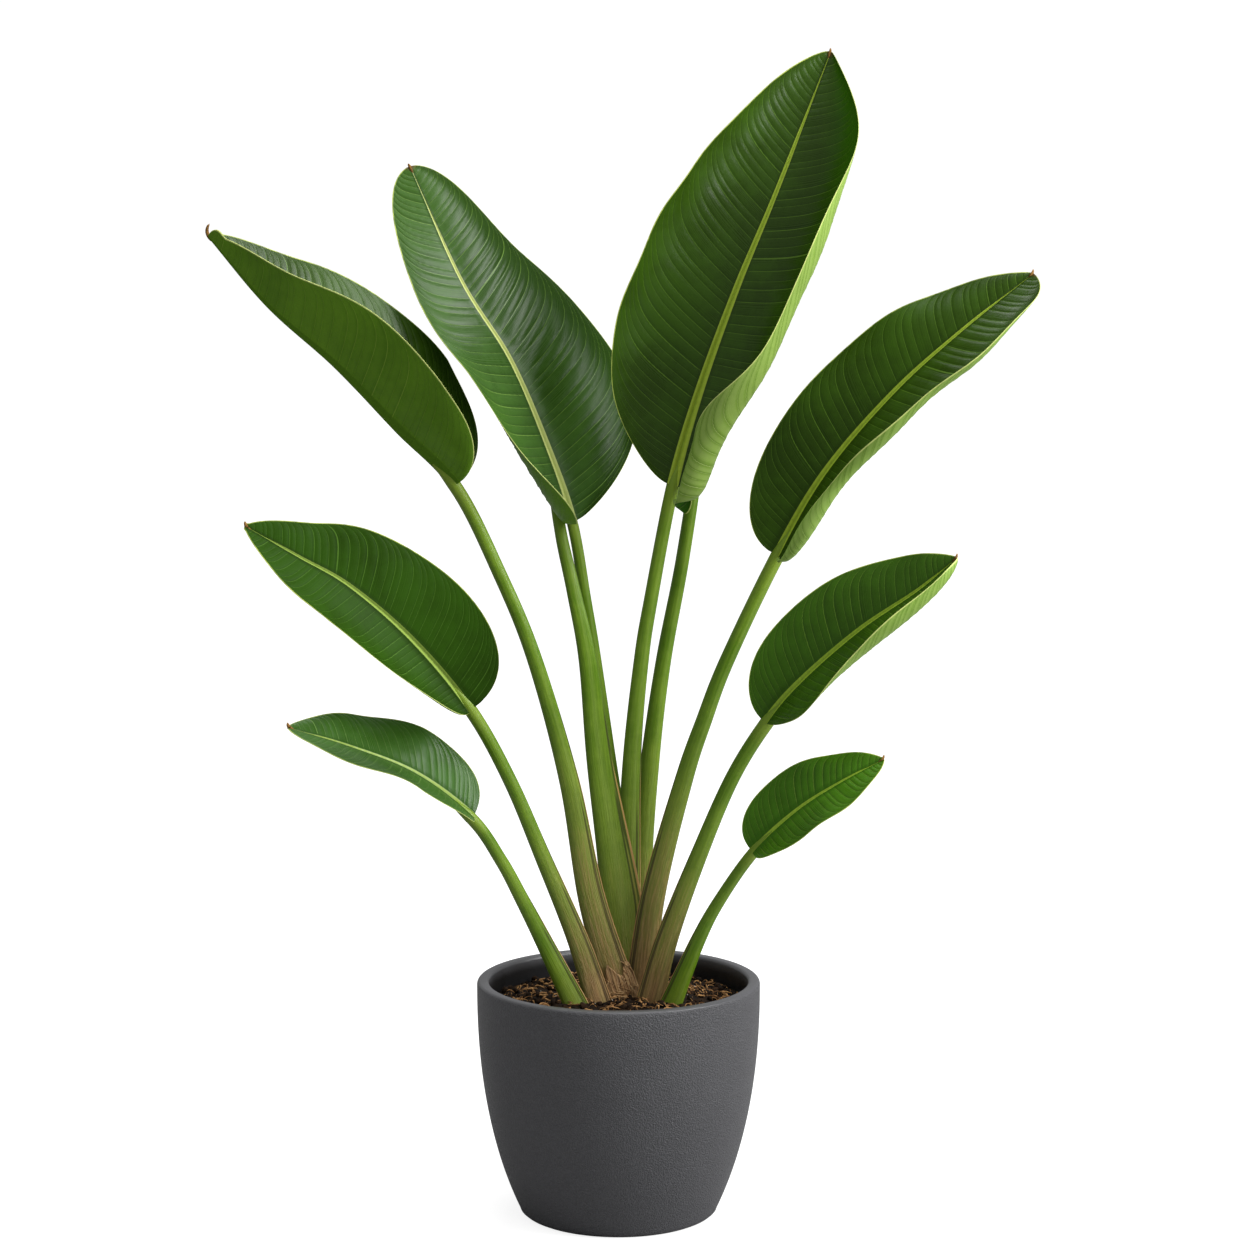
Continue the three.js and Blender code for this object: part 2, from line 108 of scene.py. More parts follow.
class Nodes:
    """A node tree that is being filled."""

    def __init__(self, tree: bpy.types.NodeTree) -> None:
        """Keep the tree."""
        self.tree = tree

    def add(self, kind: str, inputs: dict | None = None, **settings: object) -> bpy.types.Node:
        """Add a node.

        Args:
            kind: The node's type.
            inputs: Socket name or number to a value, or to the socket that feeds it.
            **settings: The node's own options.

        Returns:
            The new node.
        """
        node = self.tree.nodes.new(kind)
        for name, value in settings.items():
            setattr(node, name, value)
        for name, value in (inputs or {}).items():
            if isinstance(value, Socket):
                self.tree.links.new(value, node.inputs[name])
            else:
                node.inputs[name].default_value = value
        return node

    def maths(self, operation: str, *values: Source) -> Socket:
        """Work out one number by the named operation of the Math node."""
        return self.add("ShaderNodeMath", dict(enumerate(values)), operation=operation).outputs[0]

    def times(self, first: Source, second: Source) -> Socket:
        """Multiply two numbers."""
        return self.maths("MULTIPLY", first, second)

    def onto(self, start: Source, value: Source, factor: Source) -> Socket:
        """Add a value times a factor onto a start."""
        return self.maths("MULTIPLY_ADD", value, factor, start)

    def rise(self, value: Source, low: float, high: float, start: float = 0.0, end: float = 1.0) -> Socket:
        """Map a value smoothly, so that low gives start and high gives end."""
        inputs = {"Value": value, 1: low, 2: high, 3: start, 4: end}
        return self.add("ShaderNodeMapRange", inputs, interpolation_type="SMOOTHSTEP").outputs[0]

    def mix(self, share: Source, first: Source, second: Source) -> Socket:
        """Mix two colours, with the share that the second one takes."""
        inputs = {0: share, 6: first, 7: second}
        return self.add("ShaderNodeMix", inputs, data_type="RGBA", blend_type="MIX").outputs[2]

    def noise(self, place: Socket, scale: float, detail: float = 3.0, rough: float = 0.55) -> Socket:
        """Add cloudy noise, with detail octaves of which the finer ones are rough strong."""
        inputs = {"Vector": place, "Scale": scale, "Detail": detail, "Roughness": rough}
        return self.add("ShaderNodeTexNoise", inputs).outputs[0]

    def stretch(self, place: Socket, scale: Point) -> Socket:
        """Scale coordinates by one factor for each axis."""
        return self.add("ShaderNodeMapping", {"Vector": place, "Scale": scale}).outputs[0]

    def place(self) -> Socket:
        """Read the place on the piece, in metres."""
        return self.add("ShaderNodeTexCoord").outputs["Object"]

    def attribute(self, name: str) -> tuple[Socket, list[Socket]]:
        """Read a mark that the mesh carries, as its vector and as its three numbers."""
        vector = self.add("ShaderNodeAttribute", attribute_name=name).outputs["Vector"]
        return vector, list(self.add("ShaderNodeSeparateXYZ", {0: vector}).outputs)

    def bump(self, height: Socket, strength: float, distance: float) -> Socket:
        """Turn a height into a normal, where a height of 1 is distance in metres."""
        inputs = {"Height": height, "Strength": strength, "Distance": distance}
        return self.add("ShaderNodeBump", inputs).outputs[0]


class Group:
    """A shader node group that is being filled."""

    def __init__(self, name: str, takes: dict[str, str], gives: tuple[str, ...]) -> None:
        """Start the group.

        Args:
            name: The group's name.
            takes: Input names and their kinds, Float or Vector.
            gives: The names of its outputs, all of them numbers.
        """
        self.tree = bpy.data.node_groups.new(name, "ShaderNodeTree")
        for label, kind in takes.items():
            self.tree.interface.new_socket(label, in_out="INPUT", socket_type=f"NodeSocket{kind}")
        for label in gives:
            self.tree.interface.new_socket(label, in_out="OUTPUT", socket_type="NodeSocketFloat")
        self.nodes = Nodes(self.tree)
        self.taken = self.tree.nodes.new("NodeGroupInput").outputs
        self.outlet = self.tree.nodes.new("NodeGroupOutput")

    def give(self, *results: Socket) -> bpy.types.NodeTree:
        """Link the results to the outputs in their order, and return the tree.

        Args:
            *results: One socket for each output.

        Returns:
            The finished tree.
        """
        for result, socket in zip(results, self.outlet.inputs):
            self.tree.links.new(result, socket)
        return self.tree


class Effects:
    """The effects that several finishes share, each one shader node group."""

    def __init__(self) -> None:
        """Build the three groups."""
        self.mottle = self._mottle()
        self.fibre = self._fibre()
        self.veins = self._veins()

    def use(self, nodes: Nodes, group: bpy.types.NodeTree, **inputs: Source) -> bpy.types.bpy_prop_collection:
        """Place a group among a material's nodes and return its outputs."""
        return nodes.add("ShaderNodeGroup", inputs, node_tree=group).outputs

    def clouds(self, nodes: Nodes, place: Socket, size: float) -> Socket:
        """Place the mottle group and return its cloud."""
        return self.use(nodes, self.mottle, Place=place, Size=size)["Cloud"]

    def _mottle(self) -> bpy.types.NodeTree:
        """Make broad clouds with finer ones on them."""
        group = Group("mottle", {"Place": "Vector", "Size": "Float"}, ("Cloud",))
        nodes, (place, size) = group.nodes, group.taken[:2]
        broad = nodes.noise(place, size, 2.0)
        fine = nodes.noise(place, nodes.times(size, 5.3), 4.0, 0.65)
        both = nodes.onto(nodes.times(broad, 0.65), fine, 0.35)
        return group.give(nodes.rise(both, 0.36, 0.64))

    def _fibre(self) -> bpy.types.NodeTree:
        """Make streaks that run along the third axis."""
        group = Group("fibre", {"Place": "Vector", "Size": "Float"}, ("Streak", "Thread"))
        nodes, (place, size) = group.nodes, group.taken[:2]
        long = nodes.stretch(place, (1.0, 1.0, 0.035))
        streak = nodes.noise(long, size, 3.0, 0.6)
        thread = nodes.noise(long, nodes.times(size, 3.4), 2.0, 0.5)
        return group.give(nodes.rise(streak, 0.34, 0.66), nodes.rise(thread, 0.38, 0.62))

    def _veins(self) -> bpy.types.NodeTree:
        """Make side veins, the fine nerves between them, the swell of each panel and the painted shade beside
        each vein.
        """
        group = Group("veins", {"Leaf": "Vector"}, ("Line", "Swell", "Nerves", "Shade"))
        nodes, leaf = group.nodes, group.taken[0]
        count = nodes.add("ShaderNodeSeparateXYZ", {0: leaf}).outputs[0]
        part = nodes.maths("FRACT", count)
        off = nodes.maths("ABSOLUTE", nodes.maths("SUBTRACT", part, 0.5))
        line = nodes.rise(off, 0.465, 0.492)
        swell = nodes.rise(off, 0.5, 0.12)
        shade = nodes.times(nodes.rise(part, 0.01, 0.05), nodes.rise(part, 0.24, 0.05))
        turns = nodes.times(count, 11.0 * math.tau)
        wander = nodes.add("ShaderNodeTexNoise",
                           {"Vector": nodes.stretch(leaf, (9.0, 2.0, 0.0)), "Scale": 1.0}).outputs[0]
        nerves = nodes.maths("SINE", nodes.onto(turns, wander, 3.0))
        return group.give(line, swell, nodes.onto(0.5, nerves, 0.5), shade)


class Coat:
    """A material whose colour is laid over in steps."""

    def __init__(self, name: str, **sockets: float | Colour) -> None:
        """Start the material on the Principled shader.

        Args:
            name: The material's name.
            **sockets: Even values for the shader's own sockets, with _ for a space.
        """
        self.material = bpy.data.materials.new(name)
        self.material.use_nodes = True
        self.nodes = Nodes(self.material.node_tree)
        self.shader = self.material.node_tree.nodes["Principled BSDF"]
        self.colour: Source = (1.0, 1.0, 1.0, 1.0)
        for label, value in sockets.items():
            self.shader.inputs[label.replace("_", " ")].default_value = value

    def ground(self, share: Source, first: str, second: str) -> None:
        """Mix the first colour from two screen colours."""
        self.colour = self.nodes.mix(share, paint(first), paint(second))

    def lay(self, code: str, share: Source, strength: float = 1.0) -> None:
        """Lay a screen colour over the others.

        Args:
            code: Its hexadecimal digits.
            share: Where it covers them.
            strength: How well it covers them there.
        """
        if strength != 1.0:
            share = self.nodes.times(share, strength)
        self.colour = self.nodes.mix(share, self.colour, paint(code))

    def done(self, **sources: Socket) -> Material:
        """Feed the colour and other sources into the shader.

        Args:
            **sources: Shader input names, with _ for a space, and the sockets that feed them.

        Returns:
            The finished material.
        """
        for label, source in {"Base_Color": self.colour, **sources}.items():
            self.nodes.tree.links.new(source, self.shader.inputs[label.replace("_", " ")])
        return self.material


@dataclass(frozen=True)
class LeafFinish:
    """The waxy upper skin of a blade.

    The painted side light says how far the right half turns to the margin's colour and loses its
    gloss: painted shade where that colour is dark, painted light where it is bright green. Shine is
    the skin's refraction index, and slim narrows the pale band on the midrib.
    """

    name: str
    deep: str = "263e05"
    fresh: str = "325208"
    vein: str = "5c7f28"
    rib: str = "a3bb3c"
    groove: str = "7f9a2a"
    edge: str = "b9c760"
    dry: str = "5a3c1e"
    shadow: str = "122a02"
    # The colour of the painted light or painted shade laid on the right half; each tone sets its own.
    margin: str = "2f7003"
    painted_side_light: float = 0.0
    rough: float = 0.25
    shine: float = 1.31
    slim: float = 0.0

    def material(self, effects: Effects) -> Material:
        """Build the material.

        Args:
            effects: The shared groups.

        Returns:
            The finished material.
        """
        coat = Coat(f"leaf_{self.name}", IOR=self.shine)
        nodes = coat.nodes
        leaf, (_, across, rim) = nodes.attribute("leaf")
        _, (rib, along, _) = nodes.attribute("rib")
        place = nodes.place()
        cloud = effects.clouds(nodes, place, LEAF_CLOUDS)
        veins = effects.use(nodes, effects.veins, Leaf=leaf)
        coat.ground(cloud, self.deep, self.fresh)
        # Painted light and shade on the right half: its margin colour, with less gloss.
        far = nodes.rise(across, 0.3, 0.95, 0.0, self.painted_side_light)
        coat.lay(self.margin, far)
        coat.lay(self.vein, veins["Nerves"], 0.1)
        # Painted shade beside each side vein.
        coat.lay(self.shadow, veins["Shade"], 0.3)
        body = nodes.rise(nodes.maths("ABSOLUTE", across), 0.99, 0.92)
        coat.lay(self.vein, nodes.times(veins["Line"], nodes.times(body, 0.75)))
        # Painted shadow in a band beside the raised midrib.
        coat.lay(self.deep, nodes.rise(rib, 2.3, 1.0), 0.75)
        slim = nodes.maths("ADD", nodes.onto(rib, nodes.rise(along, 0.8, 1.0), 0.7), self.slim)
        coat.lay(self.rib, nodes.rise(slim, 1.08, 0.92))
        coat.lay(self.groove, nodes.rise(rib, 0.36, 0.1), 0.7)
        frayed = nodes.noise(place, 90.0, 3.0)
        coat.lay(self.edge, nodes.times(nodes.rise(rim, 1.1, 0.5), nodes.rise(frayed, 0.3, 0.6, 0.3, 0.95)))
        withered = nodes.maths("ADD", along, nodes.times(frayed, 0.02))
        coat.lay(self.dry, nodes.rise(withered, 0.998, 1.012))
        gloss = nodes.onto(nodes.onto(self.rough, cloud, 0.06), veins["Nerves"], 0.05)
        height = nodes.onto(nodes.times(veins["Swell"], 0.35), veins["Nerves"], 0.035)
        height = nodes.onto(height, nodes.noise(place, 60.0, 2.0), 0.5)
        return coat.done(Roughness=gloss, Normal=nodes.bump(height, 0.55, 0.0009),
                         Specular_IOR_Level=nodes.onto(0.5, far, -0.5))


@dataclass(frozen=True)
class UndersideFinish:
    """The paler, duller skin under a blade. Its panel light and shade sets how strongly the painted
    highlight on each panel and the painted shade beside each vein show.
    """

    name: str
    deep: str = "46700b"
    fresh: str = "588414"
    vein: str = "7f9f38"
    rib: str = "4a7010"
    edge: str = "cbd880"
    shadow: str = "34530c"
    panel_light_and_shade: float = 0.1

    def material(self, effects: Effects) -> Material:
        """Build the material.

        Args:
            effects: The shared groups.

        Returns:
            The finished material.
        """
        coat = Coat(f"underside_{self.name}", IOR=1.2)
        nodes = coat.nodes
        leaf, (_, _, rim) = nodes.attribute("leaf")
        _, (rib, _, _) = nodes.attribute("rib")
        cloud = effects.clouds(nodes, nodes.place(), LEAF_CLOUDS)
        veins = effects.use(nodes, effects.veins, Leaf=leaf)
        coat.ground(cloud, self.deep, self.fresh)
        coat.lay(self.vein, veins["Nerves"], 0.1)
        # Painted highlight on the crown of each panel, and painted shade beside each vein.
        coat.lay(self.vein, veins["Swell"], self.panel_light_and_shade)
        coat.lay(self.shadow, veins["Shade"], self.panel_light_and_shade)
        coat.lay(self.vein, veins["Line"], 0.65)
        coat.lay(self.rib, nodes.rise(rib, 1.15, 0.9))
        coat.lay(self.edge, nodes.rise(rim, 1.4, 0.6))
        height = nodes.onto(nodes.times(veins["Nerves"], 0.1), veins["Line"], 0.5)
        return coat.done(Roughness=nodes.onto(0.4, cloud, 0.08), Normal=nodes.bump(height, 0.7, 0.0006))


@dataclass(frozen=True)
class StalkFinish:
    """Green stalk, tan and papery where it clasps the foot, with painted shade on the side away from the
    window and along its right edge, a painted highlight band, and a painted shadow beside the sheath's lip.
    """

    name: str
    shade: str = "52780a"
    light: str = "779728"
    bark: str = "8e6b46"
    pale: str = "b89562"
    dark: str = "4c3d28"
    lip: str = "b98a58"
    neck: str = "88a034"
    olive: str = "8f9142"
    turned: str = "38540c"
    painted_highlight: str = "a8bc66"
    edge_shade: str = "3f5c14"
    lip_shadow: str = "2e2414"

    def material(self, effects: Effects) -> Material:
        """Build the material.

        Args:
            effects: The shared groups.

        Returns:
            The finished material.
        """
        coat = Coat(f"stalk_{self.name}", IOR=1.34)
        nodes = coat.nodes
        stem, _ = nodes.attribute("stem")
        _, (dry, lip, near) = nodes.attribute("sheath")
        _, (across, _, _) = nodes.attribute("round")
        threads = effects.use(nodes, effects.fibre, Place=stem, Size=0.55)
        streak, thread = threads["Streak"], threads["Thread"]
        cloud = effects.clouds(nodes, nodes.place(), 16.0)
        coat.ground(streak, self.bark, self.pale)
        coat.lay(self.dark, thread, 0.35)
        bark = coat.colour
        ragged = nodes.onto(nodes.onto(dry, cloud, 0.12), streak, 0.16)
        coat.ground(nodes.onto(nodes.times(streak, 0.4), cloud, 0.6), self.shade, self.light)
        coat.lay(self.neck, nodes.rise(near, 0.9, 1.0), 0.6)
        coat.lay(self.olive, nodes.rise(dry, 0.04, 0.5, 0.0, 0.62))
        coat.colour = nodes.mix(nodes.rise(ragged, 0.38, 1.02), coat.colour, bark)
        coat.lay(self.dark, nodes.times(nodes.rise(near, 0.16, 0.03), nodes.rise(ragged, 0.3, 0.8, 0.0, 0.6)))
        # Painted shade on the left side, away from the window.
        coat.lay(self.turned, nodes.rise(across, 0.1, -0.9, 0.0, 0.42))
        # Painted highlight in a band right of the centre, facing the window.
        highlight_offset = nodes.maths("ABSOLUTE", nodes.maths("ADD", across, -0.45))
        coat.lay(self.painted_highlight, nodes.rise(highlight_offset, 0.35, 0.0, 0.0, 0.14))
        # Painted shade along the right edge, for the stalk's rounding.
        coat.lay(self.edge_shade, nodes.rise(across, 0.86, 1.0, 0.0, 0.4))
        # Painted shadow beside the sheath's pale lip, where its edge overlaps the stalk.
        coat.lay(self.lip_shadow, nodes.times(nodes.rise(lip, 0.04, 0.2), nodes.rise(lip, 0.6, 0.4)), 0.7)
        coat.lay(self.lip, nodes.rise(lip, 0.5, 0.8), 0.85)
        height = nodes.onto(nodes.times(streak, 0.2), thread, nodes.rise(dry, 0.0, 0.7, 0.12, 0.9))
        return coat.done(Roughness=nodes.onto(0.3, nodes.rise(dry, 0.1, 0.6), 0.22),
                         Normal=nodes.bump(height, 0.7, 0.0007))


@dataclass(frozen=True)
class HuskFinish:
    """Dry torn sheath."""

    name: str
    deep: str = "6c482a"
    pale: str = "b48a5a"
    thread: str = "c8a878"

    def material(self, effects: Effects) -> Material:
        """Build the material.

        Args:
            effects: The shared groups.

        Returns:
            The finished material.
        """
        coat = Coat(f"husk_{self.name}", IOR=1.4)
        nodes = coat.nodes
        stem, _ = nodes.attribute("stem")
        threads = effects.use(nodes, effects.fibre, Place=stem, Size=0.45)
        coat.ground(threads["Streak"], self.deep, self.pale)
        coat.lay(self.thread, threads["Thread"], 0.6)
        height = nodes.maths("ADD", threads["Thread"], threads["Streak"])
        return coat.done(Roughness=nodes.onto(0.68, threads["Thread"], 0.15),
                         Normal=nodes.bump(height, 0.8, 0.0008))


@dataclass(frozen=True)
class PotFinish:
    """Charcoal skin.

    Grain says how deep its grain is, and depth how dark the painted shade on the inner wall turns
    between two heights, which are in metres.
    """

    name: str
    grain: float
    base: str = "4c4c4f"
    worn: str = "57575a"
    pit: str = "1c1c1e"
    inside: str = "121213"
    rough: float = 0.44
    depth: float = 0.0
    inner_shade_heights: Range = (0.247, 0.236)

    def material(self, effects: Effects) -> Material:
        """Build the material.

        Args:
            effects: The shared groups.

        Returns:
            The finished material.
        """
        coat = Coat(f"pot_{self.name}", IOR=1.48)
        nodes = coat.nodes
        place = nodes.place()
        cloud = effects.clouds(nodes, place, 14.0)
        cells = nodes.add("ShaderNodeTexVoronoi", {"Vector": place, "Scale": 600.0, "Smoothness": 0.4},
                          feature="SMOOTH_F1").outputs["Distance"]
        grain = nodes.onto(nodes.times(cells, 0.55), nodes.noise(place, 620.0, 4.0, 0.65), 1.0)
        coat.ground(nodes.times(cloud, 0.25), self.base, self.worn)
        coat.lay(self.pit, nodes.rise(grain, 0.95, 0.6, 0.0, 0.3 * self.grain))
        height = nodes.add("ShaderNodeSeparateXYZ", {0: place}).outputs[2]
        # Painted shade on the inner wall below the rim.
        coat.lay(self.inside, nodes.rise(height, *self.inner_shade_heights, 0.0, self.depth))
        return coat.done(Roughness=nodes.onto(self.rough, cloud, 0.04),
                         Normal=nodes.bump(grain, self.grain, 0.0013))


@dataclass(frozen=True)
class SoilFinish:
    """Dull crumbly stuff. Where it is marked, each bit carries its own tone."""

    name: str
    deep: str = "0e0704"
    pale: str = "2c1c0c"
    marked: bool = False

    def material(self, effects: Effects) -> Material:
        """Build the material.

        Args:
            effects: The shared groups.

        Returns:
            The finished material.
        """
        coat = Coat(f"soil_{self.name}", IOR=1.25)
        nodes = coat.nodes
        place = nodes.place()
        share = cloud = effects.clouds(nodes, place, 150.0)
        if self.marked:
            _, (tone, _, _) = nodes.attribute("tone")
            share = nodes.onto(nodes.times(tone, 0.7), cloud, 0.3)
        coat.ground(share, self.deep, self.pale)
        grit = nodes.noise(place, 900.0, 4.0, 0.7)
        return coat.done(Roughness=nodes.onto(0.75, cloud, 0.1), Normal=nodes.bump(grit, 0.9, 0.0012))


def wrap_grid(bm: BMesh, rings: np.ndarray, marks: dict[str, np.ndarray],
              skins: list[int] | None = None, creases: set[int] | None = None) -> None:
    """Roll a grid into a tube through rings of points, and close its long seam.

    Args:
        bm: The mesh being built.
        rings: Points in mm, by ring, then round the ring.
        marks: Vectors that the points carry, by name, in the same order.
        skins: The material of the strip after each point of a ring.
        creases: Points of a ring whose line along the tube stays sharp.
    """
    count, around = rings.shape[:2]
    bmesh.ops.create_grid(bm, x_segments=around, y_segments=count - 1, size=1.0)
    layers = {name: bm.verts.layers.float_vector.get(name) or bm.verts.layers.float_vector.new(name)
              for name in marks}
    made = [vert for vert in bm.verts if not vert.tag]
    column = {}
    for vert in made:
        i = round((vert.co.x + 1) / 2 * around)
        j = round((vert.co.y + 1) / 2 * (count - 1))
        column[vert] = i
        vert.tag = True
        vert.co = rings[j, i % around] * MM
        for name, layer in layers.items():
            vert[layer] = marks[name][j, i % around]
    if skins or creases:
        faces = {face for vert in made for face in vert.link_faces}
        for face in faces:
            face.material_index = skins[min(column[vert] for vert in face.verts)] if skins else 0
        for edge in {edge for face in faces for edge in face.edges} if creases else ():
            ends = {column[vert] % around for vert in edge.verts}
            if len(ends) == 1 and ends <= creases:
                edge.smooth = False
    bmesh.ops.remove_doubles(bm, verts=made, dist=WELD)


def strand(bm: BMesh, path: list[Vector], thick: float, tone: float, flat: float) -> None:
    """Add a thin bent fibre with closed ends.

    Args:
        bm: The mesh being built.
        path: Points in mm.
        thick: Its greatest radius in mm.
        tone: The number that its finish reads, 0 to 1.
        flat: Its height over its width.
    """
    rings, last = [], len(path) - 1
    for k, centre in enumerate(path):
        ahead = path[min(k + 1, last)] - path[max(k - 1, 0)]
        side = ahead.orthogonal().normalized()
        over = ahead.cross(side).normalized() * flat
        reach = 0.0 if k in (0, last) else thick * math.sin(math.pi * (0.12 + 0.76 * k / last))
        rings.append([centre + (side * math.cos(a) + over * math.sin(a)) * reach
                      for a in (math.tau * n / 4 for n in range(4))])
    shape = np.array(rings)
    wrap_grid(bm, shape, {"tone": np.full(shape.shape, tone)})


def spin_profile(bm: BMesh, steps: int) -> None:
    """Spin all that the mesh holds once round the upright axis.

    Args:
        bm: The mesh, which holds a profile and nothing else.
        steps: How many steps a full turn has.
    """
    bmesh.ops.spin(bm, geom=list(bm.verts) + list(bm.edges), axis=(0, 0, 1), cent=(0, 0, 0),
                   angle=math.tau, steps=steps, use_merge=True, use_normal_flip=False,
                   use_duplicate=False, dvec=(0, 0, 0))
    bmesh.ops.remove_doubles(bm, verts=bm.verts, dist=WELD)


def draw_profile(bm: BMesh, profile: Profile) -> list[bmesh.types.BMVert]:
    """Draw an open line in the upright plane.

    Args:
        bm: The mesh being built.
        profile: Radius and height of each point, in mm.

    Returns:
        Its points.
    """
    verts = [bm.verts.new((r * MM, 0.0, z * MM)) for r, z in profile]
    for first, second in zip(verts, verts[1:]):
        bm.edges.new((first, second))
    return verts


class Anatomy(Enum):
    """The skins of a blade, by material number."""

    UPPER = 0
    UNDER = 1
    TIP = 2


class Tone(Enum):
    """The upper skins that the leaves choose from."""

    DARK = LeafFinish("dark")
    SILVER = LeafFinish("silver", deep="28480f", fresh="355a18", vein="6b8d3c", rib="bfc97a",
                        groove="a8b560", rough=0.25, shine=1.3, slim=0.22, margin="122a02", painted_side_light=0.85)
    TALL = LeafFinish("tall", painted_side_light=0.55)
    HIGH = LeafFinish("high", shine=1.23, slim=0.28)
    LOWER = LeafFinish("lower", deep="203a05", fresh="294c08", vein="52782a", rib="8fa84c", groove="7c9440",
                       rough=0.42, shine=1.14, slim=0.42)
    FRONT = LeafFinish("front", deep="274a0c", fresh="325c14", vein="6c8e48", rib="94ab50", groove="819a44",
                       shine=1.31, slim=0.42)
    MIDDLE = LeafFinish("middle", deep="2b4d04", fresh="38620a", vein="668a2e", rib="96b436",
                        shine=1.26, slim=0.3)
    YOUNG = LeafFinish("young", deep="335f06", fresh="43760f", vein="78993a", rib="a2c23c", groove="8cab38",
                       shine=1.25, slim=0.58)


@dataclass(frozen=True)
class Half:
    """One half of a blade, by control values from its foot to its tip.

    Half is its width in mm, fold and curl are its angles in degrees, and lean is
    how far its margin runs on towards the tip. Wave has a height in mm, a count
    and a start. Late says how near the margin the curl sits, base is the least
    width at the foot, and rise is how far the side veins run on.
    """

    half: Spots
    fold: Spots
    curl: Spots
    lean: Spots
    wave: Point
    late: float = 2.0
    base: float = 5.0
    rise: Range = (0.26, 0.3)


@dataclass(frozen=True)
class LeafForm:
    """The sizes of one stalk and its blade, in mm.

    Route and midrib are the points that the centre line runs through. Margin is
    the side of the sheath's open edge, -1 or 1. Face points out of the blade's
    upper side. Pitch is the step between side veins, and swell raises the panels
    between them. Dry says how brown the sheath is, flare widens it at its open
    edge, and hook and hook_length bend the withered tip.
    """

    name: str
    route: tuple[Point, ...]
    sheath: float
    top: float
    margin: int
    midrib: tuple[Point, ...]
    face: tuple[Point, ...]
    tip: float
    left: Half
    right: Half
    tone: Tone = Tone.DARK
    pitch: float = 12.0
    rows: int = 190
    dry: float = 0.6
    hook: Point = (0.0, 0.0, 1.0)
    hook_length: float = 4.0
    swell: float = 0.2
    flare: float = 0.0


class CentreLine:
    """The smooth line through a stalk and its midrib."""

    buried: ClassVar[float] = 22.0
    near: ClassVar[float] = 1e-4

    def __init__(self, form: LeafForm) -> None:
        """Lay the line through the leaf's points, from some way down in the soil.

        Args:
            form: The leaf's sizes.
        """
        route = np.array(form.route, float)
        foot = route[0] - (route[1] - route[0]) * self.buried / (route[1][2] - route[0][2])
        self.points = np.vstack([foot, route, np.array(form.midrib, float)])
        self.joint = (len(route) + 1) / (len(self.points) - 1)

    def at(self, share: float) -> np.ndarray:
        """Return the point at a share of the line, in mm."""
        points = self.points
        knots = np.vstack([2 * points[0] - points[1], points, 2 * points[-1] - points[-2]])
        place = min(max(share, 0.0), 1.0) * (len(points) - 1)
        k = min(int(place), len(points) - 2)
        w = place - k
        a, b, c, d = knots[k:k + 4]
        start, end = (c - a) / 2, (d - b) / 2
        cubic, square = 2 * b - 2 * c + start + end, -3 * b + 3 * c - 2 * start - end
        return cubic * w ** 3 + square * w ** 2 + start * w + b

    def along(self, share: float) -> np.ndarray:
        """Return the line's direction at a share of it."""
        return unit(self.at(min(share + self.near, 1.0)) - self.at(max(share - self.near, 0.0)))


